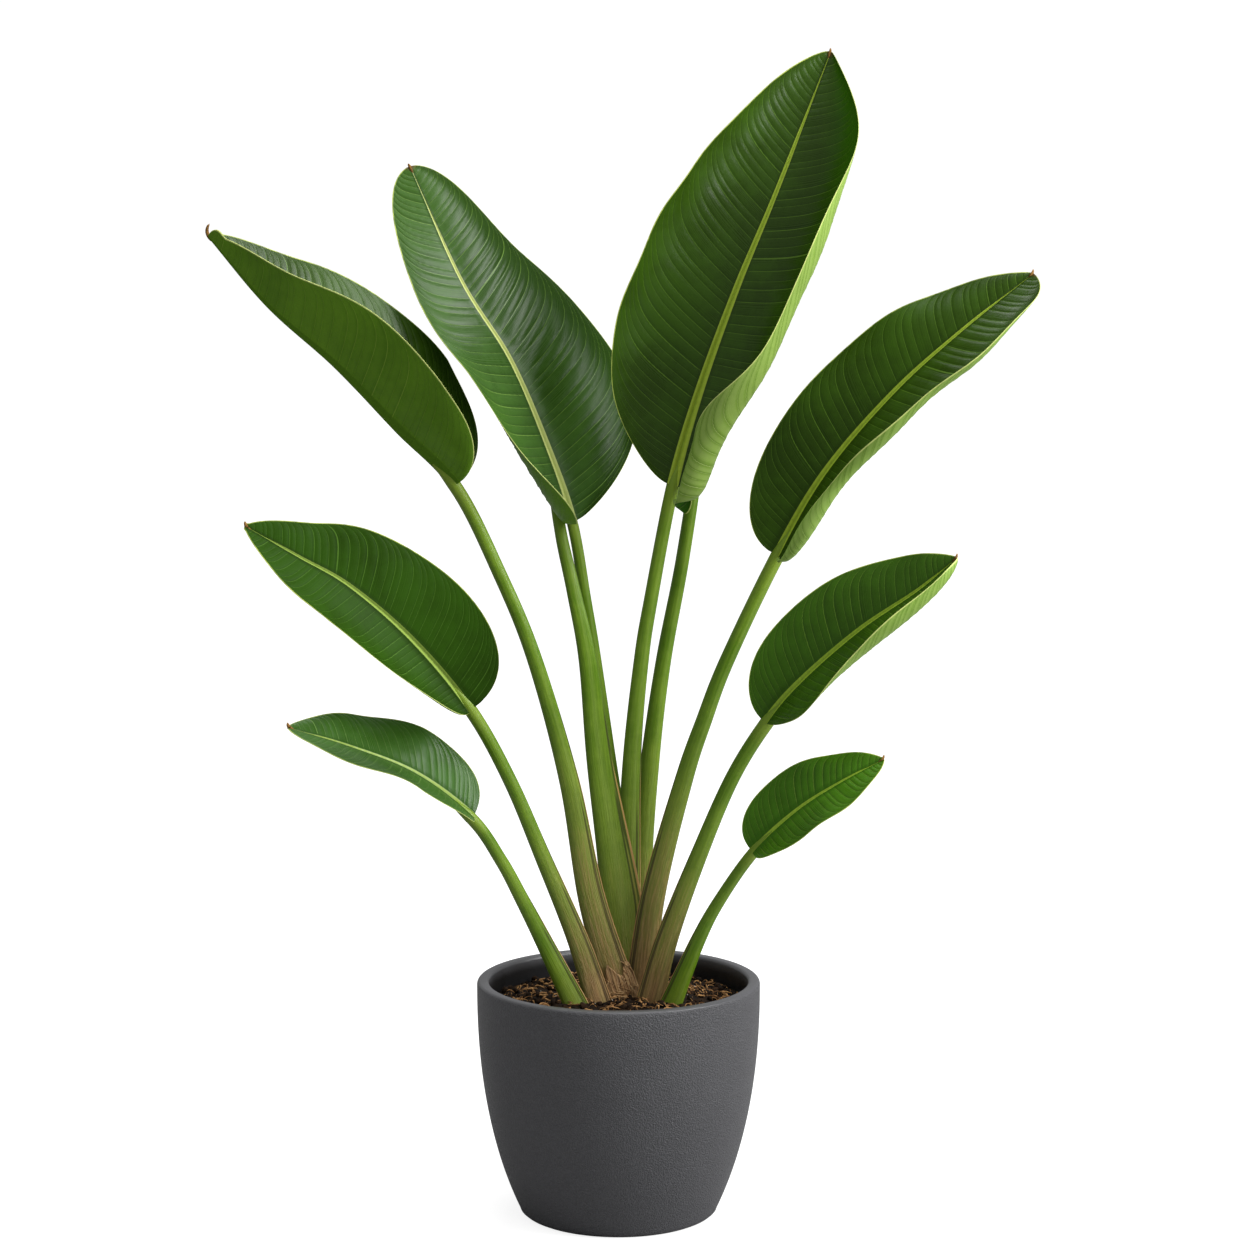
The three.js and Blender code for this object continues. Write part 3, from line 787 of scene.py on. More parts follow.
@dataclass
class Leaf:
    """A stalk and the blade that it carries, with the sizes that all leaves share.

    Broadest shapes the outline, groove is the channel on the midrib and ridge the
    swelling at either side of it, both against the rib's depth. Brim and seam are
    the two lines along the sheath's open edge: where they lie and how wide.
    """

    form: LeafForm
    thickness: float = 1.2
    thinning: float = 0.55
    slices: int = 72
    large: int = 170
    columns_large: int = 26
    columns_small: int = 18
    crowding: float = 0.35
    first_row: float = 0.0015
    tip_start: float = 0.975
    tip_thick: float = 2.3
    tip_back: float = 8.0
    tip_bends: int = 9
    broadest: Range = (0.42, 0.75)
    rib_width: Range = (6.0, 1.2)
    rib_depth: Range = (10.0, 1.6)
    rib_lift: float = 0.35
    keel: float = 0.8
    groove: Range = (0.12, 0.32)
    ridge: Point = (0.05, 0.66, 0.22)
    stalk_sides: int = 48
    stalk_rings: int = 110
    under_rings: int = 10
    blend_length: float = 34.0
    clasp_power: float = 2.2
    sheath_depth: float = 5.0
    sheath_thinning: float = 0.75
    roundness: float = 0.85
    flare_rise: Range = (0.03, 0.2)
    flare_power: float = 1.5
    brim: Range = (0.97, 0.035)
    seam: Range = (0.74, 0.05)
    seam_shift: float = 0.006
    line: CentreLine = field(init=False)

    def __post_init__(self) -> None:
        """Lay the centre line and measure it along the blade."""
        self.line = CentreLine(self.form)
        shares = np.linspace(0, 1, 201)
        spots = np.array([self.line.at(self._share(s)) for s in shares])
        steps = np.linalg.norm(np.diff(spots, axis=0), axis=1)
        self.lengths = np.concatenate([[0.0], np.cumsum(steps)])
        self.shares = shares
        pitch = self.form.pitch * (0.5 + 0.5 * np.sin(np.pi * np.clip(shares, 0.04, 0.96)) ** 0.6)
        self.counts = np.concatenate([[0.0], np.cumsum(steps / pitch[1:])])
        self.seed = sum(map(ord, self.form.name)) % 97
        span = np.linalg.norm(self.line.at(1.0) - self.line.at(self.line.joint)) / (1 - self.line.joint)
        self.past = self.blend_length / span / self.line.joint

    def _share(self, s: float) -> float:
        """Turn a share of the blade into a share of the whole line."""
        return self.line.joint + (1 - self.line.joint) * s

    def width(self, half: Half, s: float) -> float:
        """Return how wide a half of the blade is at a share of its length, in mm."""
        rise, fall = self.broadest
        peak = rise / (rise + fall)
        shape = (s / peak) ** rise * ((1 - s) / (1 - peak)) ** fall if 0 < s < 1 else 0.0
        end = math.sqrt(max(0.0, 1 - max(0.0, (s - self.tip_start) / (1 - self.tip_start)) ** 2))
        least = half.base if s < 0.5 else self.form.tip * end
        return max(float(blend(half.half, s)) * shape, least, 0.4)

    def columns(self, ribbed: float) -> np.ndarray:
        """Return the places across a half, from the midrib to the margin.

        Args:
            ribbed: The share of the half that the midrib takes.

        Returns:
            Shares from 0 to 1.
        """
        near = np.array([0, 0.12, 0.26, 0.42, 0.6, 0.78, 0.92, 1.0]) * ribbed
        count = self.columns_large if self.form.rows > self.large else self.columns_small
        far = ribbed + (1 - ribbed) * np.sin(np.linspace(0.05, 1, count) * np.pi / 2)
        return np.concatenate([near, far])

    def half_row(self, side: int, s: float) -> dict[str, np.ndarray]:
        """Lay one row of a half of the blade.

        Args:
            side: -1 on the left, 1 on the right.
            s: The share of the blade's length.

        Returns:
            The upper and under points in mm, and the marks leaf and rib.
        """
        form = self.form
        half = form.left if side < 0 else form.right
        share = self._share(s)
        centre, along = self.line.at(share), self.line.along(share)
        up = blend(form.face, s)
        up = unit(up - along * (up @ along))
        across = np.cross(along, up) * side
        width = self.width(half, s)
        depth = self.rib_depth[0] + (self.rib_depth[1] - self.rib_depth[0]) * s
        rib = self.rib_width[0] + (self.rib_width[1] - self.rib_width[0]) * s
        ribbed = min(rib / width, 0.6)
        q = self.columns(ribbed)
        fine = np.linspace(0, 1, self.slices + 1)
        middle = (fine[1:] + fine[:-1]) / 2
        fold, curl = math.radians(blend(half.fold, s)), math.radians(blend(half.curl, s))
        turned = fold + curl * middle ** half.late
        x = np.interp(q, fine, np.concatenate([[0], np.cumsum(np.cos(turned))]) / self.slices) * width
        z = np.interp(q, fine, np.concatenate([[0], np.cumsum(np.sin(turned))]) / self.slices) * width
        angle = fold + curl * q ** half.late
        normal = np.outer(np.cos(angle), up) - np.outer(np.sin(angle), across)
        lean = float(blend(half.lean, s))
        reach = (lean * width * (q + q * q) / 2 if lean > 0
                 else lean * np.maximum(0, q * width - form.top - 0.3))
        height, turns, start = half.wave
        ease = math.sqrt(max(0.0, math.sin(math.pi * s)))
        wave = height * q * q * ease * math.sin(math.tau * (turns * s + start))
        count = self.vein_count(side, half, s, q, width)
        part = np.abs(count - np.floor(count) - 0.5)
        inner = smooth(ribbed, ribbed + 0.12, q) * (1 - smooth(0.86, 0.99, q)) * ease
        pillow = form.swell * (1 - 2 * smooth(0.26, 0.5, part)) * inner
        ratio = q * width / rib
        sunk, spread = self.groove
        groove = sunk * depth * np.exp(-(ratio / spread) ** 2) * (1 - smooth(0.8, 1.0, q / ribbed))
        proud, peak, spread = self.ridge
        ridge = proud * depth * np.exp(-((ratio - peak) / spread) ** 2)
        upper = (centre + np.outer(x, across) + np.outer(z + self.rib_lift * depth - groove + ridge, up)
                 + np.outer(reach, along) + normal * (wave + pillow)[:, None])
        thick = self.thickness * (1 - self.thinning * q * q)
        keel = np.sqrt(np.clip(1 - (q / ribbed) ** 2, 0, 1)) * max(0.0, depth * self.keel - self.thickness)
        under = upper - normal * thick[:, None] - np.outer(keel, up)
        leaf = np.stack([count, side * q, (1 - q) * width], axis=1)
        marks = np.stack([ratio, np.full(len(q), s), np.full(len(q), depth)], axis=1)
        return {"upper": upper, "under": under, "leaf": leaf, "rib": marks}

    def vein_count(self, side: int, half: Half, s: float, q: np.ndarray, width: float) -> np.ndarray:
        """Number the side veins over a row, a whole number on each vein.

        Args:
            side: -1 on the left, 1 on the right.
            half: The half's sizes.
            s: The share of the blade's length.
            q: The places across the half.
            width: The half's width there in mm.

        Returns:
            One number for each place.
        """
        length = float(np.interp(s, self.shares, self.lengths))
        start = length - width * (half.rise[0] * q + half.rise[1] * q ** 8)
        slope = self.counts[1] / self.lengths[1]
        count = np.where(start > 0, np.interp(start, self.lengths, self.counts), start * slope * 0.5)
        slow, quick = 0.18 * np.sin(1.7 * count + side), 0.1 * np.sin(4.3 * count + 2.0 * side)
        return count + slow + quick + (0.4 if side > 0 else 0)

    def build_blade(self, materials: list[Material]) -> Piece:
        """Build the blade, closed at its foot and tip.

        Args:
            materials: The finishes of the upper skin, the underside and the tip.

        Returns:
            The finished piece.
        """
        t = np.linspace(0, 1, self.form.rows)
        places = (1 - self.crowding) * t + self.crowding * (0.5 - 0.5 * np.cos(np.pi * t))
        places = self.first_row + (1 - self.first_row) * places
        rings, leaf, rib = [], [], []
        for s in places:
            left, right = self.half_row(-1, float(s)), self.half_row(1, float(s))
            rings.append([np.vstack([left[key][::-1], right[key][1:]]) for key in ("upper", "under")])
            leaf.append(np.vstack([left["leaf"][::-1], right["leaf"][1:]]))
            rib.append(np.vstack([left["rib"][::-1], right["rib"][1:]]))
        points = [np.vstack([upper, under[::-1]]) for upper, under in rings]
        closed = [np.vstack([rings[k][0], rings[k][0][::-1]]) for k in (0, -1)]
        points = np.array([closed[0], *points, closed[1]])
        marks = {name: np.array([np.vstack([row, row[::-1]]) for row in [rows[0], *rows, rows[-1]]])
                 for name, rows in (("leaf", leaf), ("rib", rib))}
        across = rings[0][0].shape[0]
        skins = [Anatomy.UPPER.value] * (across - 1) + [Anatomy.UNDER.value] * (across + 1)
        bm = bmesh.new()
        wrap_grid(bm, points, marks, skins, {0, across - 1, across, 2 * across - 1})
        blade = set(bm.faces)
        strand(bm, self.tip_path(), self.tip_thick, 0.5, 0.6)
        for face in set(bm.faces) - blade:
            face.material_index = Anatomy.TIP.value
        return make_piece(f"leaf_{self.form.name}", bm, materials, "blade", f"blade_{self.form.name}")

    def tip_path(self) -> list[Vector]:
        """Follow the withered tip, which hooks over."""
        end, ahead = Vector(self.line.at(1.0)), Vector(self.line.along(1.0))
        hook = Vector(self.form.hook).normalized()
        path = [end - ahead * self.tip_back]
        length = self.form.hook_length + self.tip_back
        for k in range(self.tip_bends):
            turned = ahead.slerp(hook, (k / (self.tip_bends - 1)) ** 1.5)
            path.append(path[-1] + turned * length / self.tip_bends)
        return path

    def section(self, share: float) -> tuple:
        """Measure where the stalk is and how it lies.

        Args:
            share: The share of the stalk.

        Returns:
            Its centre, its direction, its arrows to the right and the back, and the share of its height.
        """
        form, line = self.form, self.line
        centre, along = line.at(share * line.joint), line.along(share * line.joint)
        right = unit(np.cross([0.0, 1.0, 0.0], along))
        low, high = form.route[0][2], form.midrib[0][2]
        height = min(max((centre[2] - low) / (high - low), 0.0), 1.0)
        return centre, along, right, np.cross(along, right), height

    def half_sizes(self, x: float | np.ndarray, height: float) -> tuple:
        """Measure how thick the stalk is.

        Args:
            x: The place across the stalk, -1 to 1.
            height: The share of the stalk's height.

        Returns:
            How far it clasps the foot, and half its width and depth in mm.
        """
        form = self.form
        clasp = (1 - height) ** self.clasp_power
        thin = 1 - self.sheath_thinning * clasp * (1 + form.margin * x) / 2
        wide, deep = form.top, form.top * self.roundness
        return clasp, wide + (form.sheath - wide) * clasp, (deep + (self.sheath_depth - deep) * clasp) * thin

    def ring(self, share: float) -> tuple[np.ndarray, ...]:
        """Lay one ring round the stalk.

        Args:
            share: The share of the stalk, past 1 where it runs on under the blade.

        Returns:
            The points in mm, and the marks stem, sheath and round.
        """
        form = self.form
        centre, along, right, back, height = self.section(share)
        turn = np.linspace(0, math.tau, self.stalk_sides, endpoint=False)
        x, y = np.sin(turn), np.cos(turn)
        clasp, wide, deep = self.half_sizes(x, height)
        past = smooth(0.0, 1.0, (share - 1) / self.past)
        wide, deep = wide * (1 - 0.5 * past), deep * (1 - 0.55 * past)
        opened = smooth(*self.flare_rise, height) * (1 - height) ** self.flare_power
        wide = wide + form.flare * opened * np.maximum(0.0, form.margin * x)
        brim, spread = self.brim
        lip = np.exp(-((x * form.margin - brim) / spread) ** 2) * (y < 0.1) * smooth(0.1, 0.35, clasp)
        seam, spread = self.seam[0] + self.seam_shift * form.flare, self.seam[1]
        inner = np.exp(-((x * form.margin - seam) / spread) ** 2) * (y < 0) * smooth(0.25, 0.5, clasp)
        proud = 0.9 * lip + 0.35 * inner
        points = centre + np.outer(x * (wide + proud), right) + np.outer(y * (deep + proud), back)
        if past > 0:
            up = blend(form.face, 0.0)
            points = points - unit(up - along * (up @ along)) * past
        even = np.ones(len(x))
        run = height * (form.midrib[0][2] - form.route[0][2])
        stem = np.stack([x * wide, y * deep + self.seed, run * even], axis=1)
        sheath = np.stack([clasp * form.dry * even, np.maximum(lip, 0.75 * inner), share * even], axis=1)
        return points, stem, sheath, np.stack([x, y, 0 * even], axis=1)

    def build_stalk(self, material: Material) -> Piece:
        """Build the stalk, which runs on a little under the blade.

        Args:
            material: The stalk's finish.

        Returns:
            The finished piece.
        """
        under = 1 + self.past * np.linspace(0.08, 1, self.under_rings)
        shares = np.concatenate([np.linspace(0, 1, self.stalk_rings), under])
        rows = [self.ring(float(share)) for share in shares]
        ends = [np.repeat(rows[k][0].mean(axis=0)[None], self.stalk_sides, axis=0) for k in (0, -1)]
        points = np.array([ends[0], *(row[0] for row in rows), ends[1]])
        rows = [rows[0], *rows, rows[-1]]
        names = ("stem", "sheath", "round")
        marks = {name: np.array([row[k] for row in rows]) for k, name in enumerate(names, 1)}
        bm = bmesh.new()
        wrap_grid(bm, points, marks)
        return make_piece(f"stem_{self.form.name}", bm, [material], "stalk", f"stalk_{self.form.name}")


def make_piece(name: str, bm: BMesh, materials: list[Material], slot: str,
               *nodes: str) -> Piece:
    """Turn a finished bmesh into a piece of the object.

    Args:
        name: The piece's name.
        bm: Its mesh, which is freed.
        materials: Its finishes.
        slot: The record's slot that it belongs to; not used.
        *nodes: The CAD nodes that it stands for.

    Returns:
        The piece, riding on the body.
    """
    bmesh.ops.dissolve_degenerate(bm, dist=1e-7, edges=bm.edges)
    bmesh.ops.recalc_face_normals(bm, faces=bm.faces)
    for face in bm.faces:
        face.smooth = True
    mesh = bpy.data.meshes.new(name)
    bm.to_mesh(mesh)
    bm.free()
    for material in materials:
        mesh.materials.append(material)
    piece = bpy.data.objects.new(name, mesh)
    bpy.context.scene.collection.objects.link(piece)
    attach(piece, "root")
    if nodes:
        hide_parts(*nodes)
    LOG.info("%s: %d faces", name, len(mesh.polygons))
    return piece


@dataclass
class Pot:
    """The bowl-shaped planter."""

    rim: float = 150.0
    height: float = 250.0
    lip_thickness: float = 13.0
    lip_rounding: float = 4.0
    lip_drop: float = 14.0
    foot: float = 100.0
    foot_rounding: float = 6.0
    wall: float = 12.0
    floor: float = 16.0
    belly_pull: float = 86.0
    foot_pull: Range = (30.0, 64.0)
    rim_seen: float = 2.2
    glazed_above: float = 20.0
    rows: int = 26
    steps: int = 144

    def outside(self, count: int) -> Profile:
        """Follow the outer wall from under the rim to the foot.

        Args:
            count: How many steps.

        Returns:
            Radius and height in mm at each.
        """
        top = self.height - self.lip_drop
        low = self.foot + self.foot_rounding
        knots = ((self.rim, top), (self.rim, top - self.belly_pull),
                 (low + self.foot_pull[0], self.foot_rounding + self.foot_pull[1]), (low, self.foot_rounding))
        return [tuple(blend(knots, k / count)) for k in range(count + 1)]

    def build(self, grained: Material, glazed: Material) -> Piece:
        """Spin the pot from its profile.

        Args:
            grained: The outer wall's finish.
            glazed: The rim's and inner wall's finish.

        Returns:
            The finished piece.
        """
        outer = self.outside(self.rows)
        inner = self.rim - self.lip_thickness
        inside = [(r - self.wall, z) for r, z in outer if z > self.floor + self.foot_rounding]
        start = [(0.0, 0.0), (self.foot - 8, 0.0), (self.foot, 0.0),
                 (self.foot + self.foot_rounding * 0.42, 1.2), (self.foot + self.foot_rounding * 0.85, 3.4)]
        rim = [(self.rim, self.height), (inner, self.height), (inner, self.height - self.lip_drop)]
        end = [(self.foot - self.wall, self.floor), (0.0, self.floor)]
        bm = bmesh.new()
        verts = draw_profile(bm, start + outer[::-1] + rim + inside[1:] + end)
        corners = [vert for vert in verts if vert.co.z > (self.height - 0.1) * MM]
        bmesh.ops.bevel(bm, geom=corners, offset=self.lip_rounding * MM, offset_type="OFFSET",
                        affect="VERTICES", segments=5, profile=0.5, material=-1)
        spin_profile(bm, self.steps)
        for face in bm.faces:
            spot = face.calc_center_median()
            radius = math.hypot(spot.x, spot.y)
            rimmed = spot.z > (self.height - self.rim_seen) * MM or radius < self.inner_at(spot.z / MM) * MM
            face.material_index = int(rimmed and spot.z > self.glazed_above * MM)
        return make_piece("planter", bm, [grained, glazed], "pot", "pot")

    def inner_at(self, height: float) -> float:
        """Return a radius halfway through the wall at a height, in mm."""
        outer = self.outside(self.rows)[::-1]
        reach = np.interp(height, [z for _, z in outer], [r for r, _ in outer])
        return float(reach) - self.wall / 2


@dataclass
class Soil:
    """The potting mix, with its crumbs, fibres and white specks."""

    pot: Pot
    edge_height: float = 225.0
    mound: float = 5.0
    gap: float = 0.6
    rings: int = 60
    rows: int = 14
    steps: int = 150
    lumps: tuple[Point, ...] = ((3.2, 21, 1.5), (1.6, 7, 4.0), (0.8, 2.6, 8.0))
    crumbs: int = 900
    fibres: int = 470
    specks: int = 45
    speck_size: Range = (0.7, 1.4)
    crumb_size: Range = (1.3, 4.6)
    crumb_width: Range = (0.5, 1.0)
    crumb_height: Range = (0.35, 0.8)
    jitter: float = 0.18
    fibre_length: Range = (7.0, 24.0)
    fibre_hump: Range = (0.3, 4.5)
    fibre_thick: Range = (0.4, 1.25)
    bends: int = 8
    reach: float = 131.0
    seed: int = 7

    def ground(self, x: float, y: float) -> float:
        """Return the height of the surface in mm at a place in mm."""
        out = math.hypot(x, y) / (self.pot.rim - self.pot.lip_thickness)
        rough = sum(high * noise.noise(Vector((x / wide, y / wide, layer)))
                    for high, wide, layer in self.lumps)
        return self.edge_height - 1.0 + self.mound * (1 - out * out) + rough * (1 - out ** 8)

    def build_bed(self, material: Material) -> Piece:
        """Spin the filling and roughen its top.

        Args:
            material: The soil's finish.

        Returns:
            The finished piece.
        """
        pot = self.pot
        edge, wall, base = pot.rim - pot.lip_thickness - self.gap, pot.wall + self.gap, pot.floor + 0.3
        side = [(r - pot.wall - self.gap, z) for r, z in pot.outside(self.rows)[::-1]
                if pot.floor + pot.foot_rounding < z < self.edge_height]
        top = [(edge * (1 - k / self.rings), self.edge_height) for k in range(self.rings + 1)]
        bm = bmesh.new()
        draw_profile(bm, [(0.0, base), (pot.foot - wall, base), *side, *top])
        spin_profile(bm, self.steps)
        for vert in bm.verts:
            if vert.co.z > (self.edge_height - 0.1) * MM:
                vert.co.z = self.ground(vert.co.x / MM, vert.co.y / MM) * MM
        return make_piece("soil_bed", bm, [material], "soil", "soil")

    def spot(self, dice: random.Random, reach: float) -> tuple[float, float]:
        """Pick a place on the surface.

        Args:
            dice: The seeded source of chance.
            reach: The share of the surface's radius that may be used.

        Returns:
            Its x and y in mm.
        """
        radius = (self.pot.rim - self.pot.lip_thickness - 4) * reach * math.sqrt(dice.random())
        angle = dice.uniform(0, math.tau)
        return radius * math.cos(angle), radius * math.sin(angle)

    def build_crumbs(self, dark: Material, white: Material) -> Piece:
        """Scatter the crumbs, chips and white specks.

        Args:
            dark: The crumbs' finish.
            white: The specks' finish.

        Returns:
            The finished piece.
        """
        dice = random.Random(self.seed)
        bm = bmesh.new()
        layer = bm.verts.layers.float_vector.new("tone")
        for number in range(self.crumbs + self.specks):
            speck = number >= self.crumbs
            x, y = self.spot(dice, 1.0)
            least, more = self.crumb_size
            size = dice.uniform(*self.speck_size) if speck else least + more * dice.random() ** 3
            width, height = dice.uniform(*self.crumb_width), dice.uniform(*self.crumb_height)
            shape = Vector((1.0, width, height)) * size * MM
            angle, axis = dice.uniform(0, math.tau), Vector([dice.gauss(0, 1) for _ in range(3)]).normalized()
            turn = Matrix.Rotation(angle, 4, axis)
            place = Matrix.Translation(Vector((x, y, self.ground(x, y) + 0.35 * size)) * MM)
            made = bmesh.ops.create_icosphere(bm, subdivisions=1, radius=1.0,
                                              matrix=place @ turn @ Matrix.Diagonal((*shape, 1.0)))["verts"]
            tone = dice.random() ** 2
            for vert in made:
                vert.co += Vector([dice.uniform(-self.jitter, self.jitter) * size * MM for _ in range(3)])
                vert[layer] = (tone, 0.0, 0.0)
            if speck:
                for face in {face for vert in made for face in vert.link_faces}:
                    face.material_index = 1
        return make_piece("soil_crumbs", bm, [dark, white], "soil")

    def build_fibres(self, material: Material) -> Piece:
        """Lay the curled fibres and bark shreds.

        Args:
            material: Their finish.

        Returns:
            The finished piece.
        """
        dice = random.Random(self.seed + 1)
        bm = bmesh.new()
        for _ in range(self.fibres):
            x, y = self.spot(dice, 0.97)
            heading, bend = dice.uniform(0, math.tau), dice.uniform(-0.5, 0.5)
            length, hump = dice.uniform(*self.fibre_length), dice.uniform(*self.fibre_hump)
            path = []
            for k in range(self.bends + 1):
                heading += bend
                x += math.cos(heading) * length / self.bends
                y += math.sin(heading) * length / self.bends
                away = math.hypot(x, y)
                if away > self.reach:
                    x, y = x * self.reach / away, y * self.reach / away
                lift = hump * math.sin(math.pi * (k / self.bends))
                path.append(Vector((x, y, self.ground(x, y) + 0.9 + lift)))
            strand(bm, path, dice.uniform(*self.fibre_thick), dice.random(), 0.7)
        return make_piece("soil_fibres", bm, [material], "soil")


@dataclass
class Husk:
    """The torn dry sheath round the foot of one stalk.

    Turns is the part of the way round that it covers, proud is how far its two
    skins lie from the stalk, and tear and tongues shape its torn top.
    """

    leaf: Leaf
    turns: tuple[float, float] = (0.26, 0.7)
    proud: Range = (0.3, 1.5)
    height: float = 46.0
    buried: float = 9.0
    tear: float = 14.0
    tongues: float = 2.5
    fray: float = 5.0
    flare: float = 1.6
    crease: float = 0.35
    stem_scale: Range = (90.0, 400.0)
    columns: int = 44
    rows: int = 30
    threads: int = 46
    thread_across: float = 0.2
    thread_climb: Range = (4.0, 22.0)
    thread_bow: float = 0.05
    thread_proud: Range = (1.9, 3.4)
    thread_thick: Range = (0.35, 0.8)
    bends: int = 8
    seed: int = 3

    def first_step(self) -> Range:
        """Return the first step of the stalk's route, as a share of it and in mm of height."""
        route = self.leaf.form.route
        return 1 / (len(route) + 1), route[1][2] - route[0][2]

    def build(self, material: Material) -> Piece:
        """Wrap the husk round the stalk.

        Args:
            material: Its finish.

        Returns:
            The finished piece.
        """
        step, span = self.first_step()
        rows, marks = [], []
        for row in range(self.rows + 1):
            outer, inner, stem = [], [], []
            for column in range(self.columns + 1):
                across = column / self.columns
                notch = self.tear * (0.5 + 0.5 * math.cos(math.tau * self.tongues * across))
                notch += self.fray * noise.noise(Vector((across * 17, 3.0, 0.0)))
                low = step * (1 - self.buried / CentreLine.buried)
                high = step * (1 + (self.height - notch) / span)
                share = low + (high - low) * row / self.rows
                turn = self.turns[0] + (self.turns[1] - self.turns[0]) * across
                ruffle = 1 + noise.noise(Vector((across * 9, row / 7, 2.0)))
                flare = self.flare * (row / self.rows) ** 3 * ruffle
                crease = self.crease * math.sin(across * 60 + 0.6 * math.sin(row / 5))
                outer.append(self.spot(share, turn, self.proud[1] + flare + crease))
                inner.append(self.spot(share, turn, self.proud[0] + flare + crease))
                stem.append((turn * self.stem_scale[0], 0.0, share * self.stem_scale[1]))
            rows.append(np.array(outer + inner[::-1]))
            marks.append(np.array(stem + stem[::-1]))
        count = self.columns + 1
        ends = [np.vstack([rows[k][:count], rows[k][:count][::-1]]) for k in (0, -1)]
        points = np.array([ends[0], *rows, ends[1]])
        bm = bmesh.new()
        wrap_grid(bm, points, {"stem": np.array([marks[0], *marks, marks[-1]])})
        return make_piece("dry_husk", bm, [material], "husk", "husk")

    def build_threads(self, material: Material) -> Piece:
        """Cross the husk with loose threads.

        Args:
            material: Their finish.

        Returns:
            The finished piece.
        """
        dice = random.Random(self.seed)
        step, span = self.first_step()
        bm = bmesh.new()
        for _ in range(self.threads):
            turn, height = dice.uniform(*self.turns), dice.uniform(0, 0.62) * self.height
            across = dice.uniform(-self.thread_across, self.thread_across)
            climb = dice.uniform(*self.thread_climb)
            bow, proud = dice.uniform(-self.thread_bow, self.thread_bow), dice.uniform(*self.thread_proud)
            path = []
            for k in range(self.bends + 1):
                at = turn + across * k / self.bends + bow * math.sin(math.pi * k / self.bends)
                at = min(max(at, self.turns[0]), self.turns[1])
                share = step * (1 + (height + climb * k / self.bends) / span)
                out = proud * math.sin(math.pi * (0.25 + 0.6 * k / self.bends))
                path.append(Vector(self.spot(share, at, out)))
            strand(bm, path, dice.uniform(*self.thread_thick), dice.random(), 0.7)
        return make_piece("husk_threads", bm, [material], "husk")

    def spot(self, share: float, turn: float, proud: float) -> np.ndarray:
        """Return a point proud of the stalk's skin, in mm.

        Args:
            share: The share of the stalk.
            turn: The share of the way round.
            proud: How far out it lies.

        Returns:
            The point.
        """
        centre, _, right, back, height = self.leaf.section(share)
        x, y = math.sin(math.tau * turn), math.cos(math.tau * turn)
        _, wide, deep = self.leaf.half_sizes(x, height)
        return centre + right * x * (wide + proud) + back * y * (deep + proud)


@dataclass(frozen=True)
class Softbox:
    """A soft light: where it hangs and aims in metres, its width and height, and its watts."""

    name: str
    place: Point
    aim: Point
    size: Range
    power: float

    def hang(self) -> None:
        """Hang the light."""
        data = bpy.data.lights.new(self.name, "AREA")
        data.shape, (data.size, data.size_y), data.energy = "RECTANGLE", self.size, self.power
        light = bpy.data.objects.new(self.name, data)
        light.location = self.place
        light.rotation_euler = (Vector(self.aim) - Vector(self.place)).to_track_quat("-Z", "Y").to_euler()
        bpy.context.scene.collection.objects.link(light)


@dataclass
class Studio:
    """Pale floor, soft lights and the camera."""

    camera_place: Point = (0.009, -3.0, 0.959)
    camera_pitch: float = 83.65
    lens: float = 82.8
    sensor: float = 36.0
    floor_size: float = 30.0
    surroundings: Range = (0.38, 0.66)
    lights: tuple[Softbox, ...] = (
        Softbox("window", (2.45, -0.78, 2.1), (0.0, 0.0, 0.75), (1.5, 2.5), 128.0),
        Softbox("top", (0.2, 0.9, 2.9), (0.0, 0.0, 0.6), (1.8, 0.9), 26.0),
        Softbox("front", (0.1, -1.25, 3.3), (0.0, -0.1, 0.3), (1.4, 0.5), 22.0))

    def build_floor(self) -> None:
        """Lay the floor, which the camera sees as white away from the pot."""
        bm = bmesh.new()
        bmesh.ops.create_grid(bm, x_segments=1, y_segments=1, size=self.floor_size)
        mesh = bpy.data.meshes.new("floor")
        bm.to_mesh(mesh)
        bm.free()
        coat = Coat("floor", Roughness=0.9, Emission_Color=(1.0, 1.0, 1.0, 1.0))
        nodes = coat.nodes
        place = nodes.place()
        coat.colour = nodes.mix(nodes.noise(place, 3.0), (0.38, 0.38, 0.38, 1.0), (0.42, 0.42, 0.42, 1.0))
        seen = nodes.add("ShaderNodeLightPath").outputs["Is Camera Ray"]
        away = nodes.add("ShaderNodeVectorMath", {0: place}, operation="LENGTH").outputs["Value"]
        glow = nodes.times(seen, nodes.rise(away, 0.3, 1.2, 0.84, 1.0))
        mesh.materials.append(coat.done(Emission_Strength=glow))
        floor = bpy.data.objects.new("floor", mesh)
        bpy.context.scene.collection.objects.link(floor)

    def build_lights(self) -> None:
        """Hang the lights and set the pale surroundings, which the camera sees brighter."""
        for light in self.lights:
            light.hang()
        world = bpy.data.worlds.new("surroundings")
        bpy.context.scene.world = world
        world.use_nodes = True
        nodes = Nodes(world.node_tree)
        seen = nodes.add("ShaderNodeLightPath").outputs["Is Camera Ray"]
        back = world.node_tree.nodes["Background"]
        dim, more = self.surroundings
        world.node_tree.links.new(nodes.onto(dim, seen, more), back.inputs["Strength"])
        back.inputs["Color"].default_value = (1.0, 1.0, 1.0, 1.0)
        bpy.context.scene.view_settings.view_transform = "Standard"

    def build_camera(self) -> None:
        """Place the camera where the photograph was taken."""
        data = bpy.data.cameras.new("camera")
        data.lens, data.sensor_width = self.lens, self.sensor
        camera = bpy.data.objects.new("camera", data)
        camera.location = self.camera_place
        camera.rotation_euler = (math.radians(self.camera_pitch), 0.0, 0.0)
        bpy.context.scene.collection.objects.link(camera)
        bpy.context.scene.camera = camera


